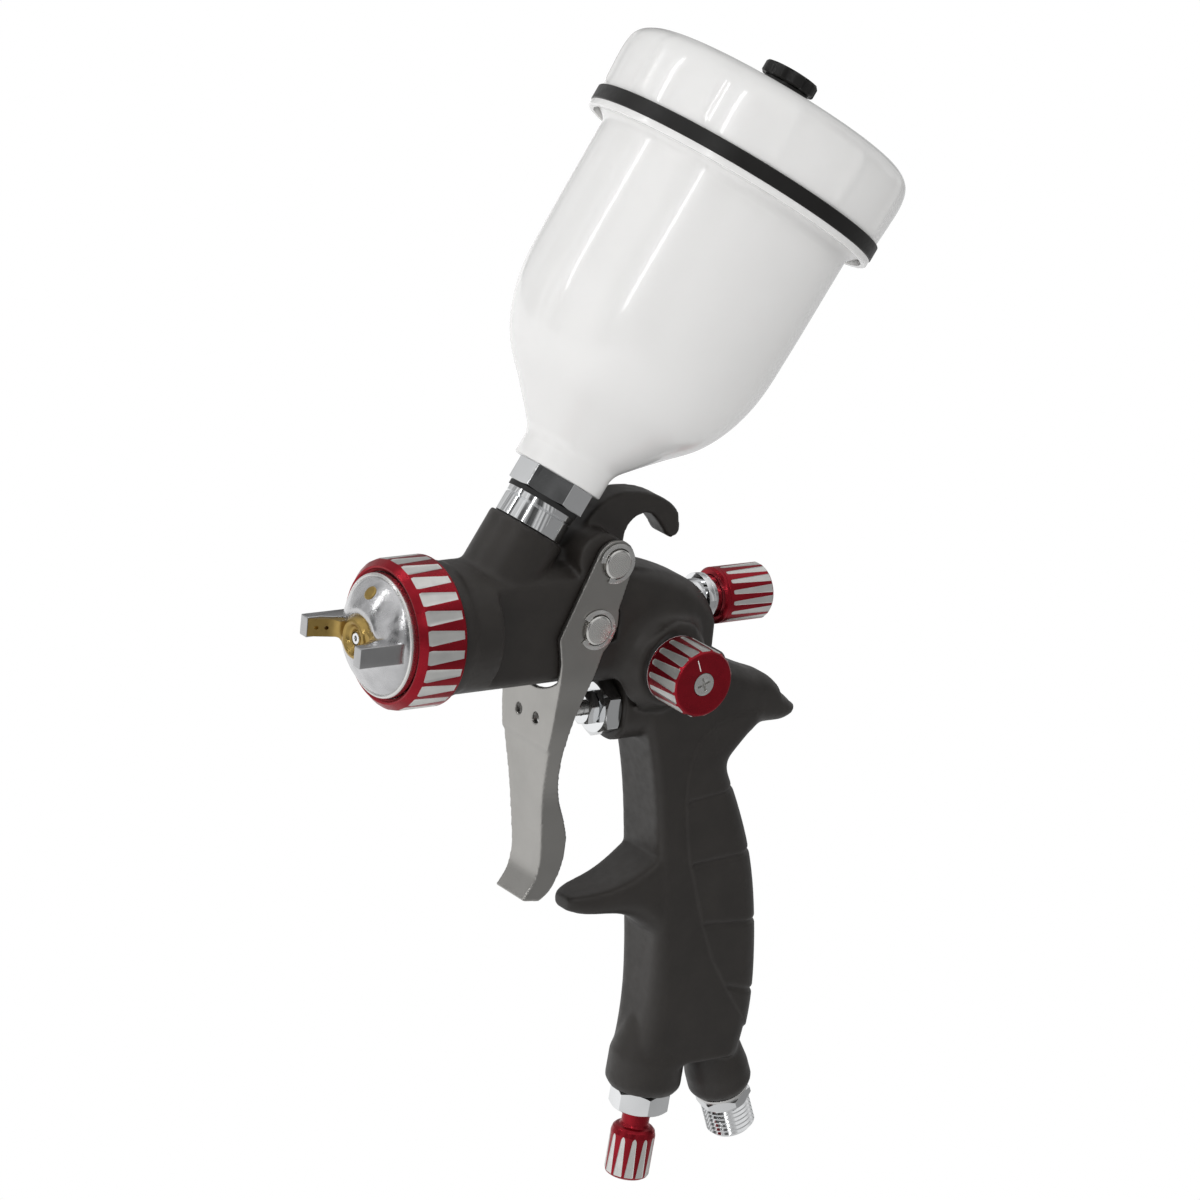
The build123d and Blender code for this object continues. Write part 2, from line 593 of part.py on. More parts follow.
def vent_cap():
    """The turning vent cap, with eight finger lobes and a stem through the lid."""
    head = rod(cup_line, 7.5, 157.0, 160.4)
    for step in range(8):
        angle = math.radians(step * 45)
        scoop = rod(cup_line, 1.4, 156, 161)
        offset = cup_line.x_dir * (8.4 * math.cos(angle)) + cup_line.y_dir * (8.4 * math.sin(angle))
        head -= Pos(offset.X, offset.Y, offset.Z) * scoop
    return head + rod(cup_line, 6.2, 154.0, 157.1) + rod(cup_line, 2.42, 149.3, 154.1)


nodes["cup_adaptor"] = (rod(cup_line, adaptor_radius, neck_top + 0.1, adaptor_top)
                        + rod(cup_line, 7.45, 20.1, neck_top + 0.2)
                        + rod(cup_line, spigot_radius, adaptor_top - 0.1, 44.3)
                        - rod(cup_line, channel_radius + 0.4, 19, 48))
nodes["cup_gasket"] = tube(cup_line, 9.5, spigot_radius + 0.3, adaptor_top + 0.1, nut_bottom - 0.1)
nodes["cup_nut"] = (hexagon(cup_line, nut_flats, nut_bottom, 46.0, 23)
                    - rod(cup_line, spigot_radius + turning_gap, 36, 44.6) - rod(cup_line, 5.95, 44, 52))
nodes["cup"] = cup()
nodes["paint_strainer"] = strainer()
nodes["lid"] = lid()
nodes["lid_band"] = tube(cup_line, 40.5, 39.0, 129.1, 133.1)
nodes["lid_gasket"] = tube(cup_line, 36.3, 34.4, cup_rim + 0.1, lid_ceiling - 0.1)
nodes["vent_cap"] = vent_cap()
nodes["vent_retainer"] = tube(cup_line, 4.0, 2.45, 149.4, 150.1)


# ---- write every node ----
os.makedirs("parts", exist_ok=True)
for name, shape in nodes.items():
    placed = row_origin * shape
    placed.label = name
    export_step(placed, f"parts/{name}.step")
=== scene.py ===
import math

import bmesh
import bpy
import numpy as np
from mathutils import Matrix, Vector


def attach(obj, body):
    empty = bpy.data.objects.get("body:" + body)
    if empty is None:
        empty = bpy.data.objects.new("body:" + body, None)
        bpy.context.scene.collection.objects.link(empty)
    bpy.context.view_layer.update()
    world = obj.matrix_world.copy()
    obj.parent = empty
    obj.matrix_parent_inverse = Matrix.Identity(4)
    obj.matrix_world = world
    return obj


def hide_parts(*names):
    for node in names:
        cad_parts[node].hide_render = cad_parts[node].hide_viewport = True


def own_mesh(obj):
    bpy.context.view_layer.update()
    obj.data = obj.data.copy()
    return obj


# A gravity-feed spray gun.  Pieces are drawn in the gun's working frame, in millimetres: the spray
# axis is X, the nozzle points along -X and Z is up.  "settle" puts each one in the row frame.

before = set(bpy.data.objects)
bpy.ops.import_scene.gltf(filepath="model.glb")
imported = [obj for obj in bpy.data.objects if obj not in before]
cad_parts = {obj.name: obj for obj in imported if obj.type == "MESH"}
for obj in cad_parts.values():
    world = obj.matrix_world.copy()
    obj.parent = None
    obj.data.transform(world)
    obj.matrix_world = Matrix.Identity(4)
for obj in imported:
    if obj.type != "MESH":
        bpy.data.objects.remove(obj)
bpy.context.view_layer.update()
bpy.context.scene.view_settings.view_transform = "Standard"

INLET_END = (114.1, 0.0, -152.9)
TO_ROW = Matrix.Scale(0.001, 4) @ Matrix.Translation(-Vector(INLET_END))
CUP_TILT = math.radians(30.9)
REGULATOR_TILT = math.radians(4.5)
INLET_TILT = math.radians(22.0)


# ---------------------------------------------------------------- seats
def seat(origin, out, across):
    """Placement whose Z runs along a direction, for pieces that are turned about an axis."""
    z = Vector(out).normalized()
    x = Vector(across)
    x = (x - x.dot(z) * z).normalized()
    placement = Matrix((x, z.cross(x), z)).transposed().to_4x4()
    placement.translation = Vector(origin)
    return placement


SPRAY = seat((0, 0, 0), (1, 0, 0), (0, 0, 1))
CUP = seat((12.8, 0, 0), (math.sin(CUP_TILT), 0, math.cos(CUP_TILT)), (0, 1, 0))
FAN = seat((65.5, 0, -11.7), (0, -1, 0), (1, 0, 0))
VALVE = seat((0, 0, -26.4), (1, 0, 0), (0, 0, 1))
PIVOT = seat((46.5, 0, 17.1), (0, -1, 0), (1, 0, 0))
NEEDLE_PIN = seat((42.5, 0, 0), (0, -1, 0), (1, 0, 0))
REGULATOR = seat((82.5, 0, -136.9), (-math.sin(REGULATOR_TILT), 0, -math.cos(REGULATOR_TILT)), (0, 1, 0))
INLET = seat(INLET_END, (math.sin(INLET_TILT), 0, -math.cos(INLET_TILT)), (0, 1, 0))


# ---------------------------------------------------------------- nodes
def wire(tree, node, inputs):
    """Give a node its inputs: a socket is linked, and anything else is the input's own value."""
    for name, value in inputs.items():
        if isinstance(value, bpy.types.NodeSocket):
            tree.links.new(value, node.inputs[name])
        else:
            node.inputs[name].default_value = value
    return node


def add_node(tree, kind, inputs=None):
    return wire(tree, tree.nodes.new(kind), inputs or {})


def maths(tree, operation, a, b):
    node = tree.nodes.new("ShaderNodeMath")
    node.operation = operation
    return wire(tree, node, {0: a, 1: b}).outputs[0]


def map_range(tree, value, old, new=(0, 1)):
    """The old range of a value spread over a new one."""
    return add_node(tree, "ShaderNodeMapRange", {
        "Value": value, "From Min": old[0], "From Max": old[1],
        "To Min": new[0], "To Max": new[1]}).outputs["Result"]


def mix_colours(tree, factor, a, b, blend="MIX"):
    node = tree.nodes.new("ShaderNodeMix")
    node.data_type = "RGBA"
    node.blend_type = blend
    return wire(tree, node, {"Factor": factor, "A": a, "B": b}).outputs["Result"]


# ---------------------------------------------------------------- finishes
NOISE_SPAN = (0.3, 0.7)  # where most of a noise lies


class Finish:
    """A node material under construction, with short calls for what the finishes share."""

    def __init__(self, name, colour, metallic, roughness):
        self.material = bpy.data.materials.new(name)
        self.material.use_nodes = True
        self.tree = self.material.node_tree
        self.shader = self.tree.nodes["Principled BSDF"]
        self.give({"Base Color": (*colour, 1), "Metallic": metallic, "Roughness": roughness})
        self.colour = colour
        self.roughness = roughness
        self.place = add_node(self.tree, "ShaderNodeTexCoord").outputs["Object"]

    def give(self, inputs):
        wire(self.tree, self.shader, inputs)

    def stretched(self, scale, location=(0, 0, 0)):
        return add_node(self.tree, "ShaderNodeMapping", {
            "Vector": self.place, "Scale": scale, "Location": location}).outputs["Vector"]

    def noise(self, scale, detail):
        """Noise of one scale, or of a scale for each axis."""
        uneven = isinstance(scale, tuple)
        return add_node(self.tree, "ShaderNodeTexNoise", {
            "Vector": self.stretched(scale) if uneven else self.place,
            "Scale": 1 if uneven else scale, "Detail": detail}).outputs["Fac"]

    def vary_colour(self, value, dark, light):
        tones = [(*[min(1, c * share) for c in self.colour], 1) for share in (dark, light)]
        self.give({"Base Color": mix_colours(self.tree, map_range(self.tree, value, NOISE_SPAN), *tones)})

    def vary_roughness(self, value, spread):
        ends = (self.roughness - spread, self.roughness + spread)
        self.give({"Roughness": map_range(self.tree, value, NOISE_SPAN, ends)})

    def bumps(self, value, strength, height):
        bump = add_node(self.tree, "ShaderNodeBump", {
            "Height": value, "Strength": strength, "Distance": height})
        self.give({"Normal": bump.outputs["Normal"]})


def make_finish(name, colour, metallic, roughness, tint, wear, grain, detail=(3, 3, 2), more=None):
    """A finish with noise in its colour (tint: scale, darkest, lightest), in its roughness (wear: scale,
    spread) and in its surface (grain: scale, strength, height in metres)."""
    f = Finish(name, colour, metallic, roughness)
    if tint:
        f.vary_colour(f.noise(tint[0], detail[0]), *tint[1:])
    f.vary_roughness(f.noise(wear[0], detail[1]), wear[1])
    f.bumps(f.noise(grain[0], detail[2]), *grain[1:])
    f.give(more or {})
    return f.material


def turned_steel(name, centre):
    """Stainless with fine turning marks about an axis along Y through a centre in the working frame."""
    f = Finish(name, (0.80, 0.79, 0.765), 1.0, 0.30)
    marks = f.tree.nodes.new("ShaderNodeTexWave")
    marks.wave_type = "RINGS"
    marks.rings_direction = "SPHERICAL"
    flat = f.stretched((1, 0, 1), [-c for c in TO_ROW @ Vector(centre)])
    wire(f.tree, marks, {"Vector": flat, "Scale": 700, "Distortion": 1.5, "Detail": 2})
    f.vary_roughness(marks.outputs["Fac"], 0.08)
    f.bumps(marks.outputs["Fac"], 0.12, 0.00002)
    return f.material


def moulded(name, colour, roughness):
    return make_finish(name, colour, 0.0, roughness, (300, 0.9, 1.1), (800, 0.05), (3200, 0.10, 0.00004),
                       more={"Specular IOR Level": 0.35})


COAT = make_finish("matte_powder_coat", (0.0222, 0.0190, 0.0166), 0.0, 0.47,
                   (160, 0.9, 1.12), (420, 0.05), (2600, 0.12, 0.00004))
RED = make_finish("red_anodised", (0.30, 0.010, 0.020), 0.85, 0.30,
                  (300, 0.9, 1.1), (700, 0.05), (4000, 0.06, 0.00002))
BRIGHT = make_finish("bright_cut_metal", (0.74, 0.74, 0.72), 0.9, 0.36,
                     (260, 0.93, 1.05), (900, 0.05), ((500, 6000, 6000), 0.08, 0.00002))
CHROME = make_finish("polished_chrome", (0.82, 0.83, 0.84), 1.0, 0.09,
                     None, (260, 0.03), (180, 0.02, 0.0001))
BRUSHED = (5200, 5200, 260)
STEEL = make_finish("satin_stainless", (0.41, 0.401, 0.383), 1.0, 0.34,
                    (90, 0.95, 1.04), (BRUSHED, 0.05), (BRUSHED, 0.08, 0.00003), (3, 3, 3))
PLAIN = make_finish("turned_stainless", (0.76, 0.755, 0.74), 1.0, 0.28,
                    None, (600, 0.06), ((6000, 700, 6000), 0.06, 0.00002))
PIVOT_FACE = turned_steel("turned_pin_upper", (46.5, 0, 17.1))
NEEDLE_PIN_FACE = turned_steel("turned_pin_lower", (42.5, 0, 0))
DOME = make_finish("plated_cap", (0.60, 0.60, 0.61), 1.0, 0.24,
                   (320, 0.92, 1.06), (420, 0.09), (330, 0.30, 0.00022), (4, 4, 3))
# The horns' plating is a darker copy of the cap's plating: painted shade for the dark reflection on their
# outer faces.
SHADED_HORN_PLATING = make_finish("plated_horn", (0.47, 0.47, 0.475), 1.0, 0.22,
                   (160, 0.95, 1.04), (500, 0.05), (900, 0.03, 0.00003), (2, 2, 2))
BRASS = make_finish("machined_brass", (0.42, 0.29, 0.095), 1.0, 0.32,
                    (500, 0.92, 1.06), (900, 0.05), (1400, 0.04, 0.00002))
NYLON = make_finish("cup_nylon", (0.87, 0.865, 0.855), 0.0, 0.22,
                    (40, 0.985, 1.01), (120, 0.03), (60, 0.025, 0.0006), (2, 2, 1),
                    {"Subsurface Weight": 0.35, "Subsurface Radius": (0.006, 0.006, 0.006),
                     "Coat Weight": 0.6, "Coat Roughness": 0.07})
BLACK = moulded("moulded_black", (0.010, 0.0095, 0.009), 0.40)
RUBBER = moulded("black_rubber", (0.018, 0.018, 0.018), 0.6)
WHITE_SEAL = moulded("white_seal", (0.78, 0.78, 0.75), 0.45)


# ---------------------------------------------------------------- making pieces
NOTHING = 1e-6  # a radius or a length that counts as none
CORNER_SHARE = 0.48  # the most of each side that a rounded corner takes


def settle(obj, placement=Matrix.Identity(4)):
    """Put a finished mesh in the row frame, with its object left at the origin."""
    obj.data.transform(TO_ROW @ placement)
    obj.data.update()
    return obj


def ready(obj, body, replaced=()):
    """Ride on a body and stand for CAD nodes."""
    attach(obj, body)
    if replaced:
        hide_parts(*replaced)


def smooth(obj, angle=35):
    obj.data.shade_smooth()
    obj.data.set_sharp_from_angle(angle=math.radians(angle))


def new_mesh(name, points, faces, finishes=()):
    mesh = bpy.data.meshes.new(name)
    mesh.from_pydata([tuple(p) for p in points], [], faces)
    for finish in finishes:
        mesh.materials.append(finish)
    obj = bpy.data.objects.new(name, mesh)
    bpy.context.scene.collection.objects.link(obj)
    return obj


def node_copy(name, node):
    """A copy of a CAD node's mesh, without its finishes."""
    obj = bpy.data.objects.new(name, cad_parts[node].data.copy())
    bpy.context.scene.collection.objects.link(obj)
    obj.data.materials.clear()
    return obj


def tidy_mesh(obj, merge=0.0005):
    """Merge doubles and turn every face outwards."""
    bm = bmesh.new()
    bm.from_mesh(obj.data)
    bmesh.ops.remove_doubles(bm, verts=bm.verts, dist=merge)
    bmesh.ops.dissolve_degenerate(bm, edges=bm.edges, dist=merge)
    bmesh.ops.recalc_face_normals(bm, faces=bm.faces)
    bm.to_mesh(obj.data)
    bm.free()


def bake_modifiers(obj):
    bpy.context.view_layer.update()
    evaluated = obj.evaluated_get(bpy.context.evaluated_depsgraph_get())
    mesh = bpy.data.meshes.new_from_object(evaluated)
    obj.modifiers.clear()
    obj.data = mesh


def bevel(obj, width, segments=2, angle=30):
    modifier = obj.modifiers.new("edges", "BEVEL")
    modifier.width = width
    modifier.segments = segments
    modifier.limit_method = "ANGLE"
    modifier.angle_limit = math.radians(angle)
    bake_modifiers(obj)


def carve(obj, cutters, operation="DIFFERENCE"):
    """Boolean with other objects, which are then removed."""
    for cutter in cutters:
        modifier = obj.modifiers.new("carve", "BOOLEAN")
        modifier.operation = operation
        modifier.solver = "EXACT"
        modifier.object = cutter
        bake_modifiers(obj)
        bpy.data.objects.remove(cutter)


def join(obj, other):
    """Add another mesh to a piece as one more shell with the same finish."""
    bm = bmesh.new()
    bm.from_mesh(obj.data)
    bm.from_mesh(other.data)
    for face in bm.faces:
        face.material_index = 0
    bm.to_mesh(obj.data)
    bm.free()
    bpy.data.objects.remove(other)


# ---------------------------------------------------------------- outlines and plain solids
def polar(radius, degrees):
    angle = math.radians(degrees)
    return radius * math.cos(angle), radius * math.sin(angle)


def rectangle(left, right, near, far):
    return [(left, near), (right, near), (right, far), (left, far)]


def flowing(points, steps):
    """A smooth curve through points: each stretch leaves and arrives along its neighbours' line."""
    knots = [Vector(p) for p in points]
    knots = [knots[0] * 2 - knots[1]] + knots + [knots[-1] * 2 - knots[-2]]
    curve = []
    for before, a, b, after in zip(knots, knots[1:], knots[2:], knots[3:]):
        reach = (b - a).length
        leave = (b - before).normalized() * reach
        arrive = (after - a).normalized() * reach
        for k in range(steps):
            t = k / steps
            curve.append(tuple((2 * t**3 - 3 * t**2 + 1) * a + (t**3 - 2 * t**2 + t) * leave
                               + (3 * t**2 - 2 * t**3) * b + (t**3 - t**2) * arrive))
    return curve + [tuple(knots[-2])]


def rounded(outline, radius, steps=4):
    """Round the corners of a closed outline.  A point may carry its own radius as a third number."""
    if not radius:
        return outline
    result = []
    count = len(outline)
    for i, corner in enumerate(outline):
        p = Vector(corner[:2])
        r = corner[2] if len(corner) > 2 else radius
        before = Vector(outline[i - 1][:2]) - p
        after = Vector(outline[(i + 1) % count][:2]) - p
        if min(p.x, r, before.length, after.length) < NOTHING:
            result.append(tuple(p))
            continue
        half = before.angle(after) / 2
        reach = min(r / math.tan(half), before.length * CORNER_SHARE, after.length * CORNER_SHARE)
        start, end = p + before.normalized() * reach, p + after.normalized() * reach
        for k in range(steps + 1):
            t = k / steps
            result.append(tuple(start.lerp(p, t).lerp(p.lerp(end, t), t)))
    return result


def lathed(name, outline, count, finishes=()):
    """A closed mesh turned about Z from a closed outline of (radius, height) points."""
    points, faces = [], []
    n = len(outline)
    for k in range(count):
        a = 2 * math.pi * k / count
        points += [(r * math.cos(a), r * math.sin(a), h) for r, h in outline]
        base, following = k * n, (k + 1) % count * n
        for i in range(n):
            j = (i + 1) % n
            if max(outline[i][0], outline[j][0]) > NOTHING:
                faces.append((base + i, base + j, following + j, following + i))
    obj = new_mesh(name, points, faces, finishes)
    tidy_mesh(obj)
    return obj


def turned(name, outline, placement, finish, body, radius=0.25, count=96, angle=35, replaced=()):
    """A lathe-turned piece from a closed outline with rounded corners."""
    obj = lathed(name, rounded(outline, radius), count, [finish])
    smooth(obj, angle)
    ready(settle(obj, placement), body, replaced)


def prism(name, points, low, high, finishes=()):
    """An upright prism between two heights."""
    n = len(points)
    verts = [(x, y, h) for h in (low, high) for x, y in points]
    faces = [tuple(range(n - 1, -1, -1)), tuple(range(n, 2 * n))]
    faces += [(i, (i + 1) % n, (i + 1) % n + n, i + n) for i in range(n)]
    return new_mesh(name, verts, faces, finishes)


def bar(placement, radius, start, end, count=48, name="cutter", finishes=()):
    """A plain round bar along a seat, mostly used as a cutter."""
    obj = prism(name, [polar(radius, 360 * k / count) for k in range(count)], start, end, finishes)
    obj.data.transform(placement)
    return obj


# ---------------------------------------------------------------- repeated shapes
def geometry_tree(name, given, result):
    """A geometry node tree with named inputs and one result, and the sockets that its inputs come in by."""
    tree = bpy.data.node_groups.new(name, "GeometryNodeTree")
    for label, kind in given:
        tree.interface.new_socket(label, in_out="INPUT", socket_type="NodeSocket" + kind)
    tree.interface.new_socket(result, in_out="OUTPUT", socket_type="NodeSocketGeometry")
    return tree, add_node(tree, "NodeGroupInput").outputs


def segment_ring_tree():
    """Geometry nodes: copies of one segment, turned about Z until they close a ring."""
    tree, given = geometry_tree("segment_ring", [
        ("Segment", "Geometry"), ("Copies", "Int"), ("Main finish", "Material"), ("Cut finish", "Material")],
        "Ring")
    single = add_node(tree, "GeometryNodeGeometryToInstance", {0: given["Segment"]})
    copies = tree.nodes.new("GeometryNodeDuplicateElements")
    copies.domain = "INSTANCE"
    wire(tree, copies, {"Geometry": single.outputs[0], "Amount": given["Copies"]})
    step = maths(tree, "DIVIDE", 2 * math.pi, given["Copies"])
    about_z = add_node(tree, "ShaderNodeCombineXYZ", {
        "Z": maths(tree, "MULTIPLY", step, copies.outputs["Duplicate Index"])})
    rotate = add_node(tree, "GeometryNodeRotateInstances", {
        "Instances": copies.outputs["Geometry"], "Rotation": about_z.outputs[0]})
    realise = add_node(tree, "GeometryNodeRealizeInstances", {0: rotate.outputs[0]})
    weld = add_node(tree, "GeometryNodeMergeByDistance", {"Geometry": realise.outputs[0], "Distance": 0.0008})
    main = add_node(tree, "GeometryNodeSetMaterial", {
        "Geometry": weld.outputs[0], "Material": given["Main finish"]})
    is_cut = tree.nodes.new("GeometryNodeInputNamedAttribute")
    is_cut.data_type = "BOOLEAN"
    wire(tree, is_cut, {"Name": "cut"})
    cut = add_node(tree, "GeometryNodeSetMaterial", {
        "Geometry": main.outputs[0], "Selection": is_cut.outputs["Attribute"],
        "Material": given["Cut finish"]})
    add_node(tree, "NodeGroupOutput", {"Ring": cut.outputs[0]})
    return tree


def wound_thread_tree():
    """Geometry nodes: a ridge wound round a core, as a screw thread."""
    tree, given = geometry_tree("wound_thread", [
        ("Core", "Geometry"), ("Radius", "Float"), ("Length", "Float"), ("Turns", "Float"),
        ("Ridge", "Float"), ("Finish", "Material")], "Thread")
    spiral = add_node(tree, "GeometryNodeCurveSpiral", {
        "Resolution": 56, "Rotations": given["Turns"], "Start Radius": given["Radius"],
        "End Radius": given["Radius"], "Height": given["Length"]})
    upright = tree.nodes.new("GeometryNodeSetCurveNormal")
    upright.mode = "Z_UP"
    wire(tree, upright, {"Curve": spiral.outputs[0]})
    section = add_node(tree, "GeometryNodeCurvePrimitiveCircle", {
        "Resolution": 4, "Radius": given["Ridge"]})
    sweep = add_node(tree, "GeometryNodeCurveToMesh", {
        "Curve": upright.outputs[0], "Profile Curve": section.outputs[0], "Fill Caps": True})
    both = add_node(tree, "GeometryNodeJoinGeometry", {0: given["Core"]})
    wire(tree, both, {0: sweep.outputs[0]})
    realise = add_node(tree, "GeometryNodeRealizeInstances", {0: both.outputs[0]})
    paint = add_node(tree, "GeometryNodeSetMaterial", {
        "Geometry": realise.outputs[0], "Material": given["Finish"]})
    add_node(tree, "NodeGroupOutput", {"Thread": paint.outputs[0]})
    return tree


SEGMENT_RING = segment_ring_tree()
WOUND_THREAD = wound_thread_tree()


def apply_tree(obj, tree, **values):
    """Run a geometry node tree on an object once and keep its result as a plain mesh."""
    modifier = obj.modifiers.new(tree.name, "NODES")
    modifier.node_group = tree
    for item in tree.interface.items_tree:
        key = item.name.replace(" ", "_")
        if item.in_out == "INPUT" and key in values:
            modifier[item.identifier] = values[key]
    bake_modifiers(obj)


FOOT = 0.87  # where a milled cut's floor meets its walls, as a share of its half-angle
LEVEL_FLOOR = (-1, -FOOT, -0.45, 0, 0.45, FOOT, 1)  # columns of points over a milled cut
FINE = tuple(k / 8 for k in range(-8, 9))  # columns of points over a rounded form
BESIDE = 2  # columns of faces on each side of a form
UNCUT = 0.6  # the share of half a segment that the form's columns take where there is no form


def segmented(name, loop, copies, cut, placement, finishes, body, replaced, angle=30, shares=LEVEL_FLOOR):
    """A turned piece whose outer surface repeats one form.  For a point of that surface "cut" gives the
    form's half-angle and its radius at an angle, and the columns of faces follow the form's edges."""
    half = math.pi / copies
    rows = []
    for r, h, outer in loop:
        reach, floor = cut(r, h) if outer else (half * UNCUT, None)
        reach = max(reach, 1e-5)
        across = [-half + (half - reach) * k / BESIDE for k in range(BESIDE)]
        across += [reach * share for share in shares]
        across += [reach + (half - reach) * k / BESIDE for k in range(1, BESIDE + 1)]
        rows.append([(floor(a) if floor and abs(a) < reach * 1.0001 else r, a, h) for a in across])
    n = len(rows)
    columns = len(rows[0])
    points = [(r * math.cos(a), r * math.sin(a), h) for column in zip(*rows) for r, a, h in column]
    formed = [bool(outer and cut(r, h)[1]) for r, h, outer in loop]
    faces, is_cut = [], []
    for k in range(columns - 1):
        for i in range(n):
            j = (i + 1) % n
            if max(loop[i][0], loop[j][0]) > NOTHING:
                faces.append((k * n + i, k * n + j, (k + 1) * n + j, (k + 1) * n + i))
                is_cut.append(BESIDE <= k < BESIDE + len(shares) - 1 and formed[i] and formed[j])
    obj = new_mesh(name, points, faces, finishes[:1])
    obj.data.attributes.new("cut", "BOOLEAN", "FACE").data.foreach_set("value", is_cut)
    apply_tree(obj, SEGMENT_RING, Copies=copies, Main_finish=finishes[0], Cut_finish=finishes[-1])
    tidy_mesh(obj)
    smooth(obj, angle)
    ready(settle(obj, placement), body, replaced)


def section_loop(outline, radius, step, outer):
    """A closed section of (radius, height, outer): rounded corners, and its outer stretch in short steps."""
    corners = rounded(outline, radius)
    loop = []
    for i, (r0, h0) in enumerate(corners):
        r1, h1 = corners[(i + 1) % len(corners)]
        formed = outer(r0, h0) and outer(r1, h1)
        pieces = max(1, math.ceil(math.hypot(r1 - r0, h1 - h0) / step)) if formed else 1
        loop += [(r0 + (r1 - r0) * k / pieces, h0 + (h1 - h0) * k / pieces, outer(r0, h0))
                 for k in range(pieces)]
    return loop


def between(ends, t):
    return ends[0] + (ends[1] - ends[0]) * t


def milled(start, end, widths, depths, radius, rounded_end=0.0):
    """One shallow cut along a turned surface: a level floor between two short walls.  Its half-angle, in
    degrees, and its depth run evenly from start to end, and it comes out where the surface falls away."""
    none = (0.0, None)

    def cut(r, h):
        t = (h - start) / (end - start)
        if not -NOTHING <= t <= 1 + NOTHING:
            return none
        width = math.radians(between(widths, t))
        if rounded_end:
            near = min(1.0, t * abs(end - start) / rounded_end)
            width *= math.sqrt(max(0.0, 1 - (1 - near) ** 2))
        wall = FOOT * width
        middle = radius * math.cos(wall) - between(depths, t)
        if width < 1e-4 or r <= middle + 1e-4:
            return none
        corner = middle / math.cos(wall)
        if r <= corner:
            return math.acos(middle / r), lambda a: middle / math.cos(a)

        def floor(a):
            rise = max(0.0, (abs(a) - wall) / (width - wall))
            return middle / math.cos(a) if abs(a) < wall else between((corner, radius), rise)
        reach = wall + (width - wall) * min(1.0, (r - corner) / (radius - corner))
        return reach, lambda a: min(r, floor(a))
    return cut


# ---------------------------------------------------------------- spray head
def air_cap_ring():
    front, radius = -13.2, 19.1
    outline = [(17.08, -0.1), (18.7, -0.1), (radius, -0.5), (radius, -10.7), (18.94, -11.5), (17.3, front),
               (16.8, front + 0.1), (16.5, front + 0.5), (15.95, front + 0.9), (15.95, -10.95),
               (17.08, -10.95)]
    loop = section_loop(outline, 0.1, 0.25, lambda r, h: r > 18.3)
    cut = milled(-12.3, -1.0, (6.3, 3.1), (0.16, 0.05), radius)
    segmented("air_cap_ring_fluted", loop, 24, cut, SPRAY, [RED, BRIGHT], "cap_ring", ["air_cap_ring"])


def air_cap():
    dome = flowing([(6.2, -20.05), (7.6, -19.85), (9.4, -19.1), (11.4, -17.85), (13.2, -16.4), (14.4, -15.1),
                    (14.9, -14.3)], 5)
    turned("cap_dome", [(0, -19.4), (5.3, -19.6), (5.6, -20.0)] + dome + [
        (14.9, -10.3), (16.8, -10.2), (16.8, -8.7), (14.8, -8.6), (14.5, -11.5), (11.0, -15.0), (6.8, -16.8),
        (2.6, -18.6), (0, -18.6)],
           SPRAY, DOME, "spray_cap", radius=0, count=128, angle=50, replaced=["air_cap"])
    turned("cap_rim", [(14.6, -13.9), (14.85, -14.5), (15.2, -14.68), (15.6, -14.45), (15.74, -14.1),
                       (15.75, -11.0), (14.6, -11.0)], SPRAY, PLAIN, "spray_cap", radius=0.1, count=128)
    turned("cap_boss", [(1.75, -18.2), (5.9, -18.4), (5.7, -19.9), (5.35, -21.1), (4.9, -21.75),
                        (4.3, -21.9), (3.6, -21.5), (3.0, -20.8), (2.5, -20.5), (2.1, -20.6),
                        (1.95, -20.95), (1.75, -20.95)], SPRAY, BRASS, "spray_cap", radius=0.2)
    for side, hand in ((-1, "right"), (1, "left")):
        horn(side, hand)
        gusset(side, hand)
    plug = seat((-17.75, 0, 11.6), (-0.80, 0, 0.60), (0, 1, 0))
    turned("cap_plug", [(0, -0.8), (1.85, -0.8), (1.85, 0.05), (1.5, 0.22), (0, 0.25)], plug, BRASS,
           "spray_cap", radius=0.08, count=40)


def horn(side, hand):
    """A horn, plated on the outside: a tapered finger with a flat tip and crisp edges."""
    outline = [(-28.3, 10.95), (-28.3, 14.0), (-14.2, 14.0), (-14.2, 9.0), (-19.0, 9.2), (-21.5, 9.6),
               (-24.5, 10.95)]
    # painted shade: the horn takes the darker copy of the cap's plating
    shell = prism("horn_" + hand, [(x, y * side) for x, y in outline], -2.65, 2.65, [SHADED_HORN_PLATING])
    tidy_mesh(shell)
    bevel(shell, 0.24, 3)
    smooth(shell, 40)
    ready(settle(shell), "spray_cap")


def gusset(side, hand):
    """The brass inner face of a horn with its two jets, and the hollow web that joins it to the centre."""
    stations = [(10.9, -28.05, 2.3), (10.05, -25.9, 2.3), (9.1, -23.4, 2.3), (8.5, -22.3, 2.25),
                (7.8, -21.6, 2.1), (6.9, -21.15, 2.15), (5.8, -21.1, 2.6), (4.6, -21.4, 3.1)]
    back, lean = -17.0, 0.6
    points, faces = [], []
    for y, x, half in stations:
        points += [(x, y * side, half), (x, y * side, -half), (back, (y + lean) * side, -half),
                   (back, (y + lean) * side, half)]
    for k in range(0, len(points) - 4, 4):
        faces += [(k + i, k + (i + 1) % 4, k + (i + 1) % 4 + 4, k + i + 4) for i in range(4)]
    faces += [tuple(range(4)), tuple(range(len(points) - 1, len(points) - 5, -1))]
    web = new_mesh("horn_web_" + hand, points, faces, [BRASS])
    tidy_mesh(web)
    carve(web, [bar(seat((x, 0, 0), (0, side, 0), (1, 0, 0)), 0.5, 4, 10.4, 20) for x in (-26.0, -23.6)])
    smooth(web, 40)
    ready(settle(web), "spray_cap")


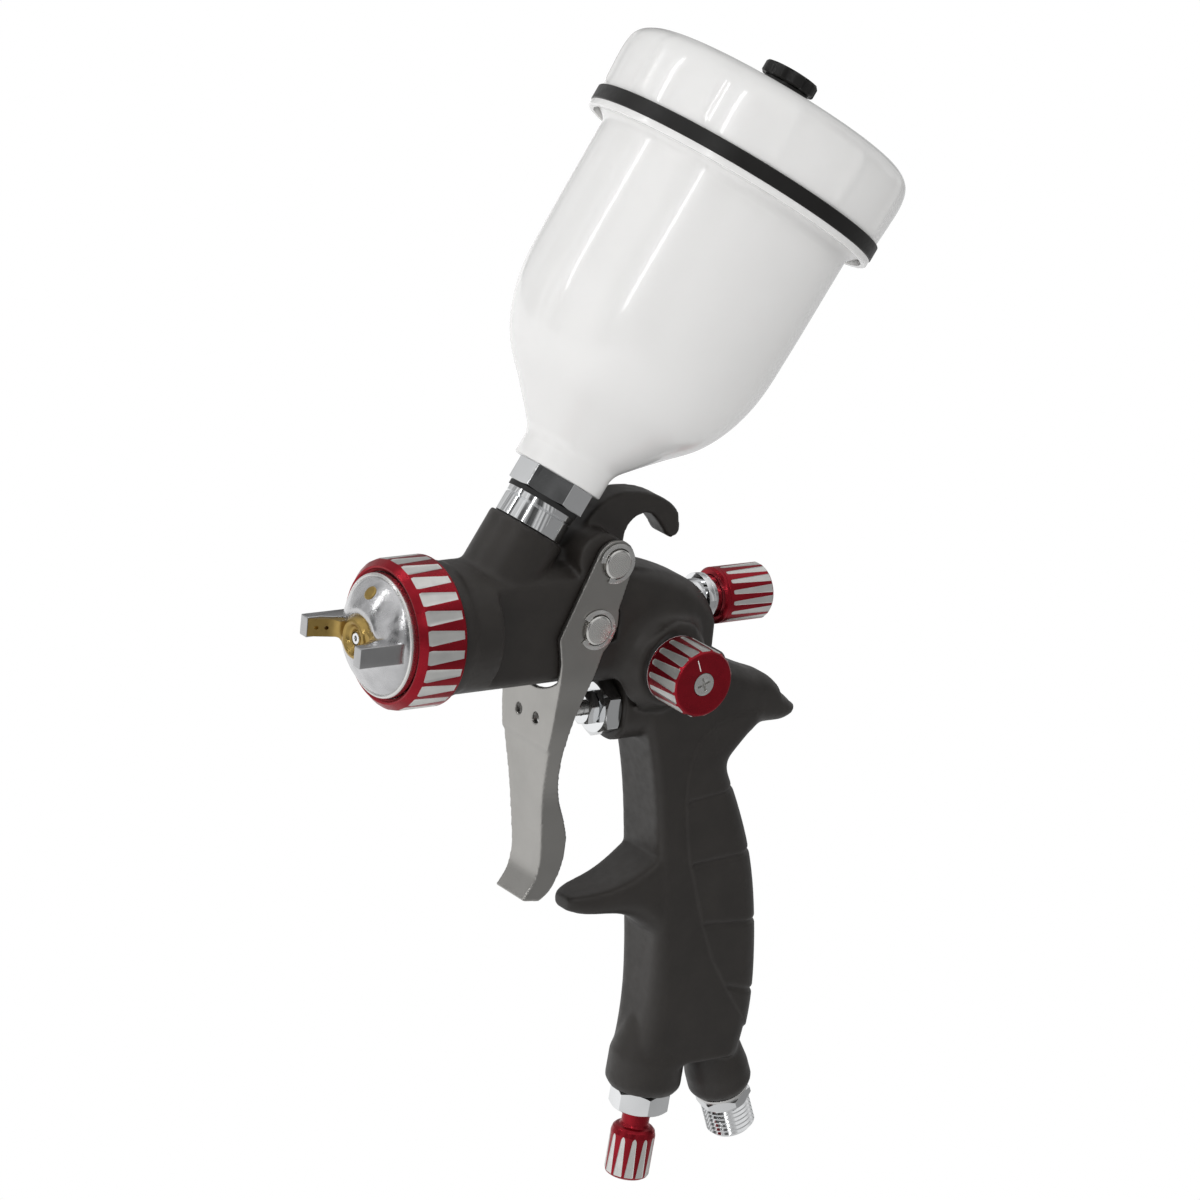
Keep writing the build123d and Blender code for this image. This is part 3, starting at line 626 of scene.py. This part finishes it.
def fluid_tip():
    turned("fluid_tip_turned", [(0.7, -13.0), (0.62, -20.9), (1.5, -20.9, 0.15), (1.5, -19.4), (1.9, -18.6),
                                (4.6, -14.0), (5.2, -9.6), (7.0, -9.4), (7.0, -5.6), (5.45, -5.6),
                                (5.45, 5.5), (3.4, 5.5), (3.4, -11.0), (1.6, -13.0)],
           SPRAY, CHROME, "body", radius=0.15, count=48, replaced=["fluid_tip"])


# ---------------------------------------------------------------- knobs
def fluid_knob():
    front, rear, radius = 87.2, 103.0, 7.4
    outline = [(5.6, front), (6.8, front), (radius, front + 0.6), (radius, front + 1.3),
               (radius - 0.14, front + 1.45), (radius, front + 1.6), (radius, rear - 1.1),
               (radius - 0.5, rear - 0.5), (radius - 1.4, rear), (0, rear), (0, 97.9), (5.6, 97.9)]
    loop = section_loop(outline, 0.1, 0.3, lambda r, h: r > 6.4 and h > front + 1.0)
    cut = milled(front + 2.3, rear - 0.3, (4.0, 8.4), (0.10, 0.16), radius, 0.7)
    segmented("fluid_knob_fluted", loop, 16, cut, SPRAY, [RED, BRIGHT], "fluid_control", ["fluid_knob"])


def fan_knob():
    base, face, radius = 17.6, 30.0, 9.0
    outline = [(3.2, base), (8.5, base), (radius, base + 0.5), (radius, face - 0.9), (8.35, face - 0.12),
               (7.9, face), (3.1, face), (3.1, 27.6), (3.2, 27.0)]
    loop = section_loop(outline, 0.15, 0.35, lambda r, h: r > 8.3)
    cut = milled(base + 0.9, face - 0.2, (4.6, 9.3), (0.12, 0.24), radius, 0.7)
    segmented("fan_knob_fluted", loop, 16, cut, FAN, [RED, BRIGHT], "fan_control", ["fan_knob"])
    line = prism("fan_index_line", rectangle(-0.12, 0.12, 4.0, 7.2), face - 0.2, face + 0.03, [WHITE_SEAL])
    line.data.transform(Matrix.Rotation(math.radians(22), 4, "Z"))
    tidy_mesh(line)
    ready(settle(line, FAN), "fan_control")
    turned("fan_knob_foot", [(3.2, 17.25), (8.7, 17.25), (8.9, 17.4), (8.9, 17.62), (3.2, 17.62)], FAN,
           CHROME, "fan_control", radius=0.06)
    screw = bar(Matrix.Identity(4), 2.98, 27.7, 29.98, 40, "fan_screw_head", [PLAIN])
    arms = [prism("cutter", rectangle(-1.9, 1.9, -0.34, 0.34), 29.0, 31.0) for _ in range(2)]
    for arm, turn in zip(arms, (20, 110)):
        arm.data.transform(Matrix.Rotation(math.radians(turn), 4, "Z"))
    carve(screw, arms)
    bevel(screw, 0.16)
    smooth(screw)
    ready(settle(screw, FAN), "fan_control", ["fan_knob_screw"])


def regulator_knob():
    top, end, radius = 10.6, 24.8, 6.0
    outline = [(0, -2.95), (3.7, -2.95), (3.7, top - 0.7), (4.1, top), (5.0, top + 0.25), (5.65, top + 0.9),
               (radius, top + 2.2), (radius, end - 1.2), (radius - 0.35, end - 0.5), (radius - 1.1, end),
               (0, end)]
    loop = section_loop(outline, 0.2, 0.35, lambda r, h: r > 5.3 and h > top + 0.5)
    cut = milled(top + 2.2, end - 0.25, (5.0, 12.0), (0.10, 0.18), radius, 1.2)
    segmented("regulator_knob_fluted", loop, 12, cut, REGULATOR, [RED, BRIGHT], "regulator_control",
              ["regulator_knob"])


# ---------------------------------------------------------------- fittings
def hexagon_nut(name, placement, across, start, end, bore, body, turn=0, chamfer=0.9, replaced=(), more=()):
    """A plated hexagonal collar with its corners turned down at both ends.  "more" holds (radius, start,
    end) of round lengths that belong to the same piece."""
    corner = across / math.sqrt(3)
    nut = prism(name, [polar(corner, 60 * k + turn) for k in range(6)], start, end, [CHROME])
    bevel(nut, 0.18, 3, 20)
    rise = (corner - across / 2) * chamfer
    flat = across / 2 * 0.95
    outside = corner + 0.05
    outline = [(0, start), (flat, start), (outside, start + rise), (outside, end - rise), (flat, end),
               (0, end)]
    carve(nut, [lathed("cutter", outline, 96)], "INTERSECT")
    carve(nut, [bar(Matrix.Identity(4), bore, start - 2, end + 2, 64)])
    for radius, low, high in more:
        join(nut, lathed("sleeve", [(bore, low), (radius - 0.2, low), (radius, low + 0.2),
                                    (radius, high - 0.2), (radius - 0.2, high), (bore, high)], 96))
    smooth(nut, 24)
    ready(settle(nut, placement), body, replaced)


def fittings():
    """The plated fittings: cup nut and its adaptor, air valve, needle gland, fluid bush, regulator body."""
    hexagon_nut("cup_hexagon", CUP, 18.0, 36.95, 46.0, 7.08, "cup_body", turn=50, chamfer=0.3,
                replaced=["cup_nut"])
    turned("cup_adaptor_ring", [(4.4, 19.0), (7.45, 19.0), (7.45, 28.4), (8.9, 28.4), (9.2, 28.7),
                                (9.2, 33.6), (8.95, 33.8), (8.95, 34.0), (9.2, 34.2), (9.2, 35.9),
                                (8.9, 36.2), (7.0, 36.2), (7.0, 44.3), (4.4, 44.3)],
           CUP, CHROME, "body", radius=0.12, count=128, replaced=["cup_adaptor"])
    hexagon_nut("air_valve_hexagon", VALVE, 14.0, 53.0, 57.95, 3.6, "body", replaced=["air_valve_body"],
                more=[(5.95, 57.7, 66.0)])
    hexagon_nut("gland_hexagon", VALVE, 8.4, 49.6, 52.9, 2.08, "body", turn=12,
                replaced=["air_valve_gland_nut"], more=[(3.55, 52.7, 56.4)])
    hexagon_nut("regulator_hexagon", REGULATOR, 14.0, 0.05, 6.0, 3.78, "body", turn=15.6, chamfer=0.8,
                replaced=["regulator_body"], more=[(5.45, -12.0, 0.3)])
    turned("fluid_bush_turned", [(4.3, 70.0), (5.0, 70.0), (5.0, 82.6), (6.4, 82.6), (6.4, 84.1),
                                 (6.25, 84.15), (6.25, 84.3), (6.35, 84.35), (6.35, 84.75), (5.9, 84.8),
                                 (5.9, 85.05), (5.5, 85.1), (5.5, 95.0), (4.3, 95.2)],
           SPRAY, CHROME, "body", radius=0.04, replaced=["fluid_bush"])


def air_inlet():
    """The threaded inlet below the handle, with its hexagon and the plain collar above it."""
    start = -8.5
    core = rounded([(3.4, -24), (5.9, -24), (5.9, -9.4), (6.05, -9.2), (6.05, -0.9), (5.6, -0.1), (3.9, 0),
                    (3.4, -0.5)], 0.1)
    thread = lathed("inlet_thread", [(r, h - start) for r, h in core], 64, [CHROME])
    apply_tree(thread, WOUND_THREAD, Radius=6.02, Length=7.6, Turns=5.7, Ridge=0.56, Finish=CHROME)
    thread.data.transform(Matrix.Translation((0, 0, start)))
    smooth(thread, 40)
    ready(settle(thread, INLET), "body", ["air_inlet"])
    hexagon_nut("inlet_hexagon", INLET, 13.0, -12.05, -9.0, 3.6, "body", turn=8)
    turned("inlet_collar", [(6.0, -12.8), (6.9, -12.8), (7.0, -12.7), (7.0, -12.15), (6.9, -12.05),
                            (6.0, -12.05)], INLET, PLAIN, "body", radius=0.05, replaced=["inlet_washer"])


# ---------------------------------------------------------------- trigger
def skinned(name, node, merge, grain, cutters=()):
    """A CAD node's solid in the working frame, as one even skin of small faces with its edges broken."""
    obj = node_copy(name, node)
    obj.data.transform(TO_ROW.inverted())
    tidy_mesh(obj, merge)
    carve(obj, cutters)
    remesh = obj.modifiers.new("skin", "REMESH")
    remesh.mode = "VOXEL"
    remesh.voxel_size = grain
    bake_modifiers(obj)
    relax(obj, 14)
    return obj


def trigger():
    """The pressed-steel trigger, drawn in smoothly to its width at each height, with its holes opened."""
    holes = [bar(seat((33, y, -25.8), (1, 0, 0), (0, 1, 0)), 1.45, -8, 8, 40) for y in (-3.84, 3.84)]
    obj = skinned("trigger_pressed", "trigger", 0.002, 0.34, holes)
    x, y, z = mesh_points(obj).T
    crease_height, crease_width, front, edge = -32.6, 1.8, 35.5, 10.2
    crease = np.exp(-((z - crease_height) / crease_width) ** 2) * (x < front)
    soften(obj, crease * np.clip((edge - np.abs(y)) / 1.5, 0, 1), 30)
    heights = np.arange(-120.0, 80.0, 0.5)
    folded = np.interp(heights, (-80.0, -64.0, -46.0, -27.0, -20.0, -13.6),
                       (6.2, 6.6, 7.6, 11.6, 12.2, 13.3))
    spread = np.exp(-(np.arange(-24, 25) / 8.0) ** 2)
    drawn = np.convolve(folded, spread / spread.sum(), "same")
    whole = slice(60, -60)
    points = mesh_points(obj)
    points[:, 1] *= np.interp(points[:, 2], heights[whole], (drawn / folded)[whole])
    move_to(obj, points)
    obj.data.materials.append(STEEL)
    obj.data.shade_smooth()
    ready(settle(obj), "trigger_lever", ["trigger"])


def pins():
    """The two trigger pins, with grooves and faced ends, and the clips that sit in the grooves."""
    end, groove, radius = 14.8, 3.0, 3.8
    half = [(radius, 0), (radius, 13.4), (groove, 13.4), (groove, 14.15), (radius, 14.15),
            (radius, end - 0.4), (radius - 0.35, end - 0.05), (radius - 0.5, end)]
    outline = [(0, -end)] + [(r, -h) for r, h in reversed(half[1:])] + half + [(0, end)]
    for name, finish, place, body, node, clips_node, mouth in (
            ("pivot_pin", PIVOT_FACE, PIVOT, "body", "trigger_pivot_pin", "pivot_pin_clips", 208),
            ("lower_pin", NEEDLE_PIN_FACE, NEEDLE_PIN, "trigger_lever", "needle_pin",
             "needle_pin_clips", 178)):
        pin = lathed(name, outline, 72, [finish])
        if node == "needle_pin":
            carve(pin, [prism("cutter", rectangle(-6, 6, -2.7, 2.45), -1.45, 1.45)])
        smooth(pin, 30)
        ready(settle(pin, place), body, [node])
        clip_pair(name + "_clips", place, body, mouth, clips_node)


def clip_pair(name, place, body, mouth, node):
    """Two spring clips: an open ring with three inner pads and rounded ends either side of its mouth."""
    opening = 36
    pads = (opening + 8, 180, 352 - opening)
    angles = [opening + (360 - 2 * opening) * k / 72 for k in range(73)]

    def inner(angle):
        past_pad = min(abs(angle - pad) for pad in pads) - 9
        return 3.08 + 1.05 * min(1.0, max(0.0, past_pad / 6))

    ring = [polar(5.3, a + mouth) for a in angles] + [polar(inner(a), a + mouth) for a in reversed(angles)]
    clips = [prism(name, ring, start, start + 0.6, [PLAIN]) for start in (-14.1, 13.45)]
    for clip in clips:
        tidy_mesh(clip)
        bevel(clip, 0.12)
    join(*clips)
    smooth(clips[0], 40)
    ready(settle(clips[0], place), body, [node])


# ---------------------------------------------------------------- cup
def cup():
    bowl = flowing([(12.2, 48.5), (12.75, 50.2), (13.9, 51.9), (20.4, 59.2), (27.4, 66.8), (31.7, 75.0),
                    (34.2, 85.0), (34.85, 98.0), (35.05, 112.0), (35.2, 126.0)], 7)
    inside = flowing([(33.4, 126.5), (33.0, 98.0), (32.4, 85.6), (30.0, 75.8), (25.7, 67.4), (18.6, 60.0),
                      (6.2, 50.6)], 5)
    outline = ([(6.2, 46.1), (10.5, 46.1), (10.5, 43.5), (10.8, 43.3), (11.9, 43.3), (12.2, 43.6)] + bowl
               + [(36.2, 127.3), (38.1, 128.7), (38.4, 129.2), (38.4, 130.9), (38.1, 131.2), (36.45, 131.2),
                  (36.45, 148.7), (36.1, 149.0), (34.5, 149.0), (34.2, 148.7), (34.2, 131.2)] + inside)
    turned("cup_shell", outline, CUP, NYLON, "cup_body", radius=0, count=180, angle=50, replaced=["cup"])


def lid():
    shoulder = flowing([(39.75, 134.0), (40.1, 140.0), (40.2, 143.5), (39.95, 146.5), (39.2, 149.0),
                        (37.6, 150.9), (35.0, 152.2), (31.2, 152.85), (22.0, 153.2), (12.0, 153.45)], 4)
    outline = ([(36.55, 131.5), (38.95, 131.5), (38.95, 133.2), (39.5, 133.2)] + shoulder
               + [(2.6, 153.5), (2.6, 150.4), (36.55, 150.4)])
    loop = section_loop(outline, 0, 0.8, lambda r, h: r > 33 and h > 133.3)
    width = math.radians(3.0)

    def rib(r, h):
        """A shallow upright rib that fades into the rounded shoulder."""
        rise = 0.42 * min(1, max(0, (h - 133.6) / 1.5)) * min(1, max(0, (152.0 - h) / 4.0))
        return math.radians(8.5), lambda a: r + rise * (math.exp(-(a / width) ** 2) - 0.0003)

    segmented("lid_ribbed", loop, 12, rib, CUP, [NYLON], "lid_body", ["lid"], 50, FINE)
    turned("lid_lip", [(38.75, 127.3), (39.9, 127.3), (40.25, 127.6), (40.25, 129.1), (38.75, 129.1)],
           CUP, NYLON, "lid_body", radius=0.12, count=180)
    turned("lid_band_ring", [(39.0, 129.1), (40.3, 129.1), (40.5, 129.3), (40.5, 132.9), (40.3, 133.1),
                             (39.0, 133.1)], CUP, BLACK, "lid_body", radius=0.1, count=180,
           replaced=["lid_band"])


def vent_cap():
    outline = [(0, 157.0), (7.2, 157.0), (7.5, 157.3), (7.5, 159.7), (7.1, 160.25), (6.4, 160.4), (0, 160.4)]
    loop = section_loop(outline, 0, 0.5, lambda r, h: r > 6.9)
    width = math.radians(9.5)

    def scoop(r, h):
        """A finger hollow, the same at every height."""
        return math.radians(17), lambda a: r - 0.95 * (math.exp(-(a / width) ** 4) - math.exp(-10.2))

    segmented("vent_cap_lobed", loop, 8, scoop, CUP, [BLACK], "vent", ["vent_cap"], 40, FINE)
    turned("vent_neck", [(0, 149.3), (2.42, 149.3), (2.42, 154.0), (5.9, 154.0), (6.2, 154.3), (6.2, 156.6),
                         (6.0, 157.05), (0, 157.05)], CUP, BLACK, "vent", radius=0.1)


# ---------------------------------------------------------------- body
GRIP_SEAM = [(103.5, -31.0), (97.0, -30.4), (90.8, -30.9), (86.6, -32.4), (83.3, -34.9), (81.2, -37.8),
             (80.0, -41.5), (79.5, -45.5), (79.5, -50.0), (80.0, -54.5), (81.0, -61.0), (82.7, -69.0),
             (85.8, -77.8), (89.3, -88.1), (93.9, -98.7), (100.2, -108.5), (109.2, -120.9), (116.0, -130.0)]
GRIP_GROOVES = [((80.0, -52.9), (95.6, -51.3), (104.0, -50.5)),
                ((83.2, -70.7), (104.5, -69.5), (114.0, -69.0)),
                ((88.7, -88.0), (110.2, -89.8), (118.0, -90.4)),
                ((99.2, -106.8), (111.9, -110.4), (119.0, -112.2))]
BOSS_RIDGE = [(58.2, -5.4), (60.3, -3.1), (63.2, -1.5), (66.8, -0.8), (71.0, -1.8), (73.7, -3.4),
              (75.6, -5.6)]
PANEL_RISE, GROOVE_DEPTH, GROOVE_WIDTH = 0.55, 0.55, 0.62
RIDGE_RISE, RIDGE_WIDTH = 0.8, 0.9


def body_casting():
    """The casting: the CAD solid, softened as a painted casting is, with the grip's seam and grooves."""
    obj = skinned("body_cast", "gun_body", 0.001, 0.72)
    (palm_x, palm_z), palm_reach = (94.5, -45.5), 5.0
    (boss_x, boss_z), boss_radius, rim_width, boss_side, behind_boss = (65.5, -11.7), 13.4, 2.2, 9.5, 78
    x, y, z = mesh_points(obj).T
    soften(obj, np.exp(-((x - palm_x) ** 2 + (z - palm_z) ** 2) / palm_reach ** 2), 60)
    x, y, z = mesh_points(obj).T
    rim = np.exp(-((np.hypot(x - boss_x, z - boss_z) - boss_radius) / rim_width) ** 2)
    soften(obj, rim * (np.abs(y) > boss_side) * (x < behind_boss), 30)
    refine(obj)
    points, normals = mesh_points(obj), mesh_points(obj, "normal")
    points[:, 2] += shoulder_swell(points)
    move_to(obj, points + normals * grip_relief(points, normals)[:, None])
    obj.data.materials.append(COAT)
    obj.data.shade_smooth()
    ready(settle(obj), "body", ["gun_body"])


def eased(t):
    return t * t * (3 - 2 * t)


def shoulder_swell(points):
    """Rise of the rounded shoulder over its last centimetre, and the drop to the spur behind its step."""
    x, z = points[:, 0], points[:, 2]
    behind = eased(np.clip((x - 109.8) / 1.4, 0, 1))
    above = np.clip((z + 33.4 + 0.33 * (x - 110.0)) / 3.5, 0, 1)
    tip = np.clip((117.4 - x) / 1.6, 0, 1)
    return above * (1.15 * np.exp(-((x - 106.6) / 4.4) ** 2) * (1 - behind) - 0.6 * behind * tip)


def away_from(points, path):
    """Distance of each point, seen from the side, to a path, and which side of it the point is on."""
    best = np.full(len(points), np.inf)
    side = np.zeros(len(points))
    flat = points[:, (0, 2)]
    for start, end in zip(path, path[1:]):
        a, run = np.array(start), np.array(end) - np.array(start)
        t = np.clip((flat - a) @ run / (run @ run), 0, 1)
        offset = flat - a - t[:, None] * run
        distance = np.hypot(offset[:, 0], offset[:, 1])
        nearer = distance < best
        best[nearer] = distance[nearer]
        side[nearer] = np.sign(run[0] * offset[nearer, 1] - run[1] * offset[nearer, 0])
    return best, side


def grip_relief(points, normals):
    """How far each point of the skin moves: a raised palm panel, cut by four grooves, and the boss ridge."""
    x, y, z = points.T
    grip = (np.abs(y) > 5.2) | (x > 84.0)
    distance, side = away_from(points, GRIP_SEAM)
    signed = distance * side
    inside = (z < -30.6) & (z > -127) & (side > 0) | (distance < 1.0) & (z < -29.5)
    fade = np.clip((z + 128) / 8.0, 0, 1) * np.clip((104.5 - x) / 4.0, 0, 1) ** (z > -36)
    move = np.where(inside & grip, PANEL_RISE * eased(np.clip(signed / 0.7 + 0.5, 0, 1)) * fade, 0.0)
    for path in GRIP_GROOVES:
        groove = GROOVE_DEPTH * np.exp(-(away_from(points, path)[0] / GROOVE_WIDTH) ** 2)
        move -= np.where((signed > 0.2) & grip, groove * np.clip((signed - 0.2) / 0.8, 0, 1), 0)
    ridge = RIDGE_RISE * np.exp(-(away_from(points, BOSS_RIDGE)[0] / RIDGE_WIDTH) ** 2)
    ends = np.clip((x - 58.0) / 4.0, 0, 1) * np.clip((76.0 - x) / 4.0, 0, 1)
    flank = (np.abs(normals[:, 1]) > 0.5) & (np.abs(y) > 7)
    return move + np.where(flank, ridge * ends, 0)


def refine(obj):
    """Halve the faces that the seam and the grooves cross, so that they stay crisp."""
    points = mesh_points(obj)
    x, y, z = points.T
    near = away_from(points, GRIP_SEAM)[0] < 1.0
    for path in GRIP_GROOVES:
        near |= away_from(points, path)[0] < 1.3
    near |= away_from(points, BOSS_RIDGE)[0] < 1.4
    near &= np.abs(y) > 5.0
    for path in GRIP_GROOVES:
        near |= (x > 95) & (np.abs(z - path[1][1]) < 2.2)
    bm = bmesh.new()
    bm.from_mesh(obj.data)
    edges = [e for e in bm.edges if near[e.verts[0].index] and near[e.verts[1].index]]
    bmesh.ops.subdivide_edges(bm, edges=edges, cuts=1, use_grid_fill=True, smooth=0)
    bmesh.ops.recalc_face_normals(bm, faces=bm.faces)
    bm.to_mesh(obj.data)
    bm.free()


# ---------------------------------------------------------------- smoothing
def mesh_points(obj, what="co"):
    values = np.empty(len(obj.data.vertices) * 3)
    obj.data.vertices.foreach_get(what, values)
    return values.reshape(-1, 3)


def move_to(obj, points):
    obj.data.vertices.foreach_set("co", points.ravel())
    obj.data.update()


def mesh_edges(obj):
    edges = np.empty(len(obj.data.edges) * 2, int)
    obj.data.edges.foreach_get("vertices", edges)
    return edges.reshape(-1, 2)


def towards_neighbours(points, edges):
    """From each point, the way to the mean of the points it shares an edge with."""
    total = np.zeros_like(points)
    np.add.at(total, edges[:, 0], points[edges[:, 1]])
    np.add.at(total, edges[:, 1], points[edges[:, 0]])
    degree = np.maximum(np.bincount(edges.ravel(), minlength=len(points)), 1)
    return total / degree[:, None] - points


def soften(obj, weight, rounds):
    """Plain smoothing, weighted point by point."""
    points, edges = mesh_points(obj), mesh_edges(obj)
    weight = np.where(weight > 0.01, weight, 0)
    edges = edges[weight[edges].any(axis=1)]
    for _ in range(rounds):
        points += 0.6 * weight[:, None] * towards_neighbours(points, edges)
    move_to(obj, points)


def relax(obj, rounds):
    """Volume-keeping smoothing: a step in and a step out each round."""
    points, edges = mesh_points(obj), mesh_edges(obj)
    step_in, step_out = 0.55, -0.57
    for _ in range(rounds):
        for step in (step_in, step_out):
            points += step * towards_neighbours(points, edges)
    move_to(obj, points)


# ---------------------------------------------------------------- carried-over solids
CARRIED = {
    "cap_slip_washer": WHITE_SEAL, "cap_wire_clip": PLAIN, "air_distributor": BRASS, "needle": PLAIN,
    "needle_collar": BRASS, "needle_locknut": PLAIN, "needle_packing": WHITE_SEAL, "packing_spring": PLAIN,
    "packing_screw": BRASS, "spring_seat": BRASS, "air_valve_packing": WHITE_SEAL,
    "air_valve_stem": PLAIN, "air_valve_seat": WHITE_SEAL, "air_valve_poppet": BRASS, "fan_bush": CHROME,
    "fan_stem_seal": RUBBER, "fan_stem": PLAIN, "regulator_seal": RUBBER, "regulator_spindle": PLAIN,
    "cup_gasket": RUBBER, "paint_strainer": PLAIN, "lid_gasket": WHITE_SEAL, "vent_retainer": WHITE_SEAL,
}


def dress_solids():
    for name, finish in CARRIED.items():
        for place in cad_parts[name].material_slots:
            place.material = finish


def springs():
    """The two return springs, as copies of their CAD nodes' meshes."""
    for node, joint, height, front, rear, travel in (
            ("needle_spring", "needle_slide", 0.0, 52.6, 94.6, 3.63),
            ("air_valve_spring", "air_valve_slide", -26.4, 71.9, 90.3, 9.31)):
        obj = node_copy(node + "_wire", node)
        obj.data.materials.append(PLAIN)
        ready(obj, "body", [node])
        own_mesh(obj)


# ---------------------------------------------------------------- stage
def camera():
    azimuth, elevation, roll = (math.radians(a) for a in (-36.36, 18.02, 5.99))
    distance, view_width, sensor = 1400, 298.56, 36
    aim_right, aim_above = 43.21, 7.43
    back = Vector((math.sin(azimuth) * math.cos(elevation), -math.cos(azimuth) * math.cos(elevation),
                   math.sin(elevation)))
    level = Vector((math.cos(azimuth), math.sin(azimuth), 0))
    up = back.cross(level)
    right = math.cos(roll) * level + math.sin(roll) * up
    above = -math.sin(roll) * level + math.cos(roll) * up
    data = bpy.data.cameras.new("camera")
    data.sensor_width = sensor
    data.lens = sensor * distance / view_width
    data.clip_start = 0.05
    obj = bpy.data.objects.new("camera", data)
    pose = Matrix((right, above, back)).transposed().to_4x4()
    pose.translation = TO_ROW @ (right * aim_right + above * aim_above + back * distance)
    obj.matrix_world = pose
    bpy.context.scene.collection.objects.link(obj)
    bpy.context.scene.camera = obj


def lamp(name, place, target, power, width, length=None, along=None):
    """A square lamp that mirrors don't show or, with a length, a long narrow one that they do."""
    data = bpy.data.lights.new(name, "AREA")
    data.energy = power
    data.size = width
    back = (place - target).normalized()
    turn = back.to_track_quat("Z", "Y").to_matrix()
    if length:
        data.shape = "RECTANGLE"
        data.size_y = length
        tall = (along - along.dot(back) * back).normalized()
        turn = Matrix((tall.cross(back), tall, back)).transposed()
    obj = bpy.data.objects.new(name, data)
    obj.matrix_world = Matrix.Translation(place) @ turn.to_4x4()
    obj.visible_glossy = bool(length)
    bpy.context.scene.collection.objects.link(obj)


def lamps():
    centre = Vector((-0.03, 0, 0.17))
    lamp("key", Vector((-1.6, -0.45, 0.75)), centre, 10, 0.9)
    lamp("fill", Vector((1.0, -1.2, 0.5)), centre, 4.5, 1.0)
    lamp("rim", Vector((0.4, 1.3, 0.9)), centre, 6, 0.8)
    bowl = TO_ROW @ CUP @ Vector((0, 0, 106))
    cup_axis = (TO_ROW @ CUP).to_3x3() @ Vector((0, 0, 1))
    for name, way in (("strip_left", (-0.709, 0.467, 0.529)), ("strip_right", (-0.703, -0.478, 0.526))):
        lamp(name, bowl + Vector(way) * 1.5, bowl, 1.6, 0.045, 0.9, cup_axis)


def mixed_shaders(tree, ray, shader, seen):
    """One shader, but another for one kind of ray."""
    path = add_node(tree, "ShaderNodeLightPath")
    return add_node(tree, "ShaderNodeMixShader", {"Fac": path.outputs[ray], 1: shader, 2: seen}).outputs[0]


# where each wall or dark card stands, as a share of the way round, and how bright it is
CARDS = [(0.0, 0.90), (0.025, 0.85), (0.04, 0.20), (0.07, 0.12), (0.09, 0.80), (0.105, 0.75), (0.12, 0.25),
         (0.135, 0.10), (0.175, 0.12), (0.19, 0.85), (0.215, 0.80), (0.24, 0.50), (0.28, 0.55), (0.31, 0.30),
         (0.36, 0.60), (0.40, 0.18), (0.45, 0.14), (0.49, 0.80), (0.58, 0.70), (0.61, 0.42), (0.67, 0.38),
         (0.69, 0.60), (0.74, 0.80), (0.80, 0.85), (0.835, 0.45), (0.86, 0.85), (0.895, 0.80), (0.915, 0.20),
         (0.94, 0.25), (0.955, 0.85)]


def surroundings():
    """An even sky.  Mirror-like finishes see upright dark cards between white walls, and the camera white."""
    world = bpy.data.worlds.new("studio")
    bpy.context.scene.world = world
    world.use_nodes = True
    tree = world.node_tree
    tree.nodes.clear()
    way = add_node(tree, "ShaderNodeTexCoord").outputs["Generated"]
    x, y, z = add_node(tree, "ShaderNodeSeparateXYZ", {0: way}).outputs
    bearing = map_range(tree, maths(tree, "ARCTAN2", y, x), (-math.pi, math.pi))
    cards = add_node(tree, "ShaderNodeValToRGB", {"Fac": bearing})
    ramp = cards.color_ramp
    while len(ramp.elements) < len(CARDS):
        ramp.elements.new(0.5)
    for element, (place, _) in zip(ramp.elements, CARDS):
        element.position = place
    for element, (_, shade) in zip(ramp.elements, CARDS):
        element.color = (shade, shade, shade, 1)
    slats = tree.nodes.new("ShaderNodeTexNoise")
    slats.noise_dimensions = "1D"
    wire(tree, slats, {"W": bearing, "Scale": 60, "Detail": 3})
    gaps = map_range(tree, slats.outputs["Fac"], (0.35, 0.62), (0.35, 1))
    broken = mix_colours(tree, 1, cards.outputs["Color"], gaps, "MULTIPLY")
    ceiling = mix_colours(tree, map_range(tree, z, (0.55, 0.85)), broken, (0.85, 0.85, 0.85, 1))
    white = (1, 1, 1, 1)
    sky, walls, backdrop = (
        add_node(tree, "ShaderNodeBackground", {"Color": colour, "Strength": strength}).outputs[0]
        for colour, strength in ((white, 0.50), (ceiling, 1), (white, 1)))
    lit = mixed_shaders(tree, "Is Glossy Ray", sky, walls)
    add_node(tree, "ShaderNodeOutputWorld", {
        "Surface": mixed_shaders(tree, "Is Camera Ray", lit, backdrop)})


def pale_floor():
    """A floor that the camera sees as white, and that glossy finishes see darken towards the front right."""
    low, reach = -0.16, 3
    floor = new_mesh("floor", [(x, y, low) for x, y in rectangle(-reach, reach, -reach, reach)],
                     [(0, 1, 2, 3)])
    material = bpy.data.materials.new("pale_floor")
    material.use_nodes = True
    tree = material.node_tree
    shader = wire(tree, tree.nodes["Principled BSDF"], {"Base Color": (0.8, 0.8, 0.8, 1), "Roughness": 0.7})
    place = add_node(tree, "ShaderNodeTexCoord").outputs["Object"]
    x, y, _ = add_node(tree, "ShaderNodeSeparateXYZ", {0: place}).outputs
    level = map_range(tree, maths(tree, "SUBTRACT", y, x), (-0.7, 0.7), (0.27, 1))
    sheen, white = (add_node(tree, "ShaderNodeEmission", {"Strength": strength}).outputs[0]
                    for strength in (level, 1))
    lit = mixed_shaders(tree, "Is Glossy Ray", shader.outputs[0], sheen)
    wire(tree, tree.nodes["Material Output"], {"Surface": mixed_shaders(tree, "Is Camera Ray", lit, white)})
    floor.data.materials.append(material)


air_cap_ring()
air_cap()
fluid_tip()
fluid_knob()
fan_knob()
regulator_knob()
air_inlet()
fittings()
trigger()
pins()
cup()
lid()
vent_cap()
body_casting()
springs()
dress_solids()
camera()
surroundings()
pale_floor()
lamps()
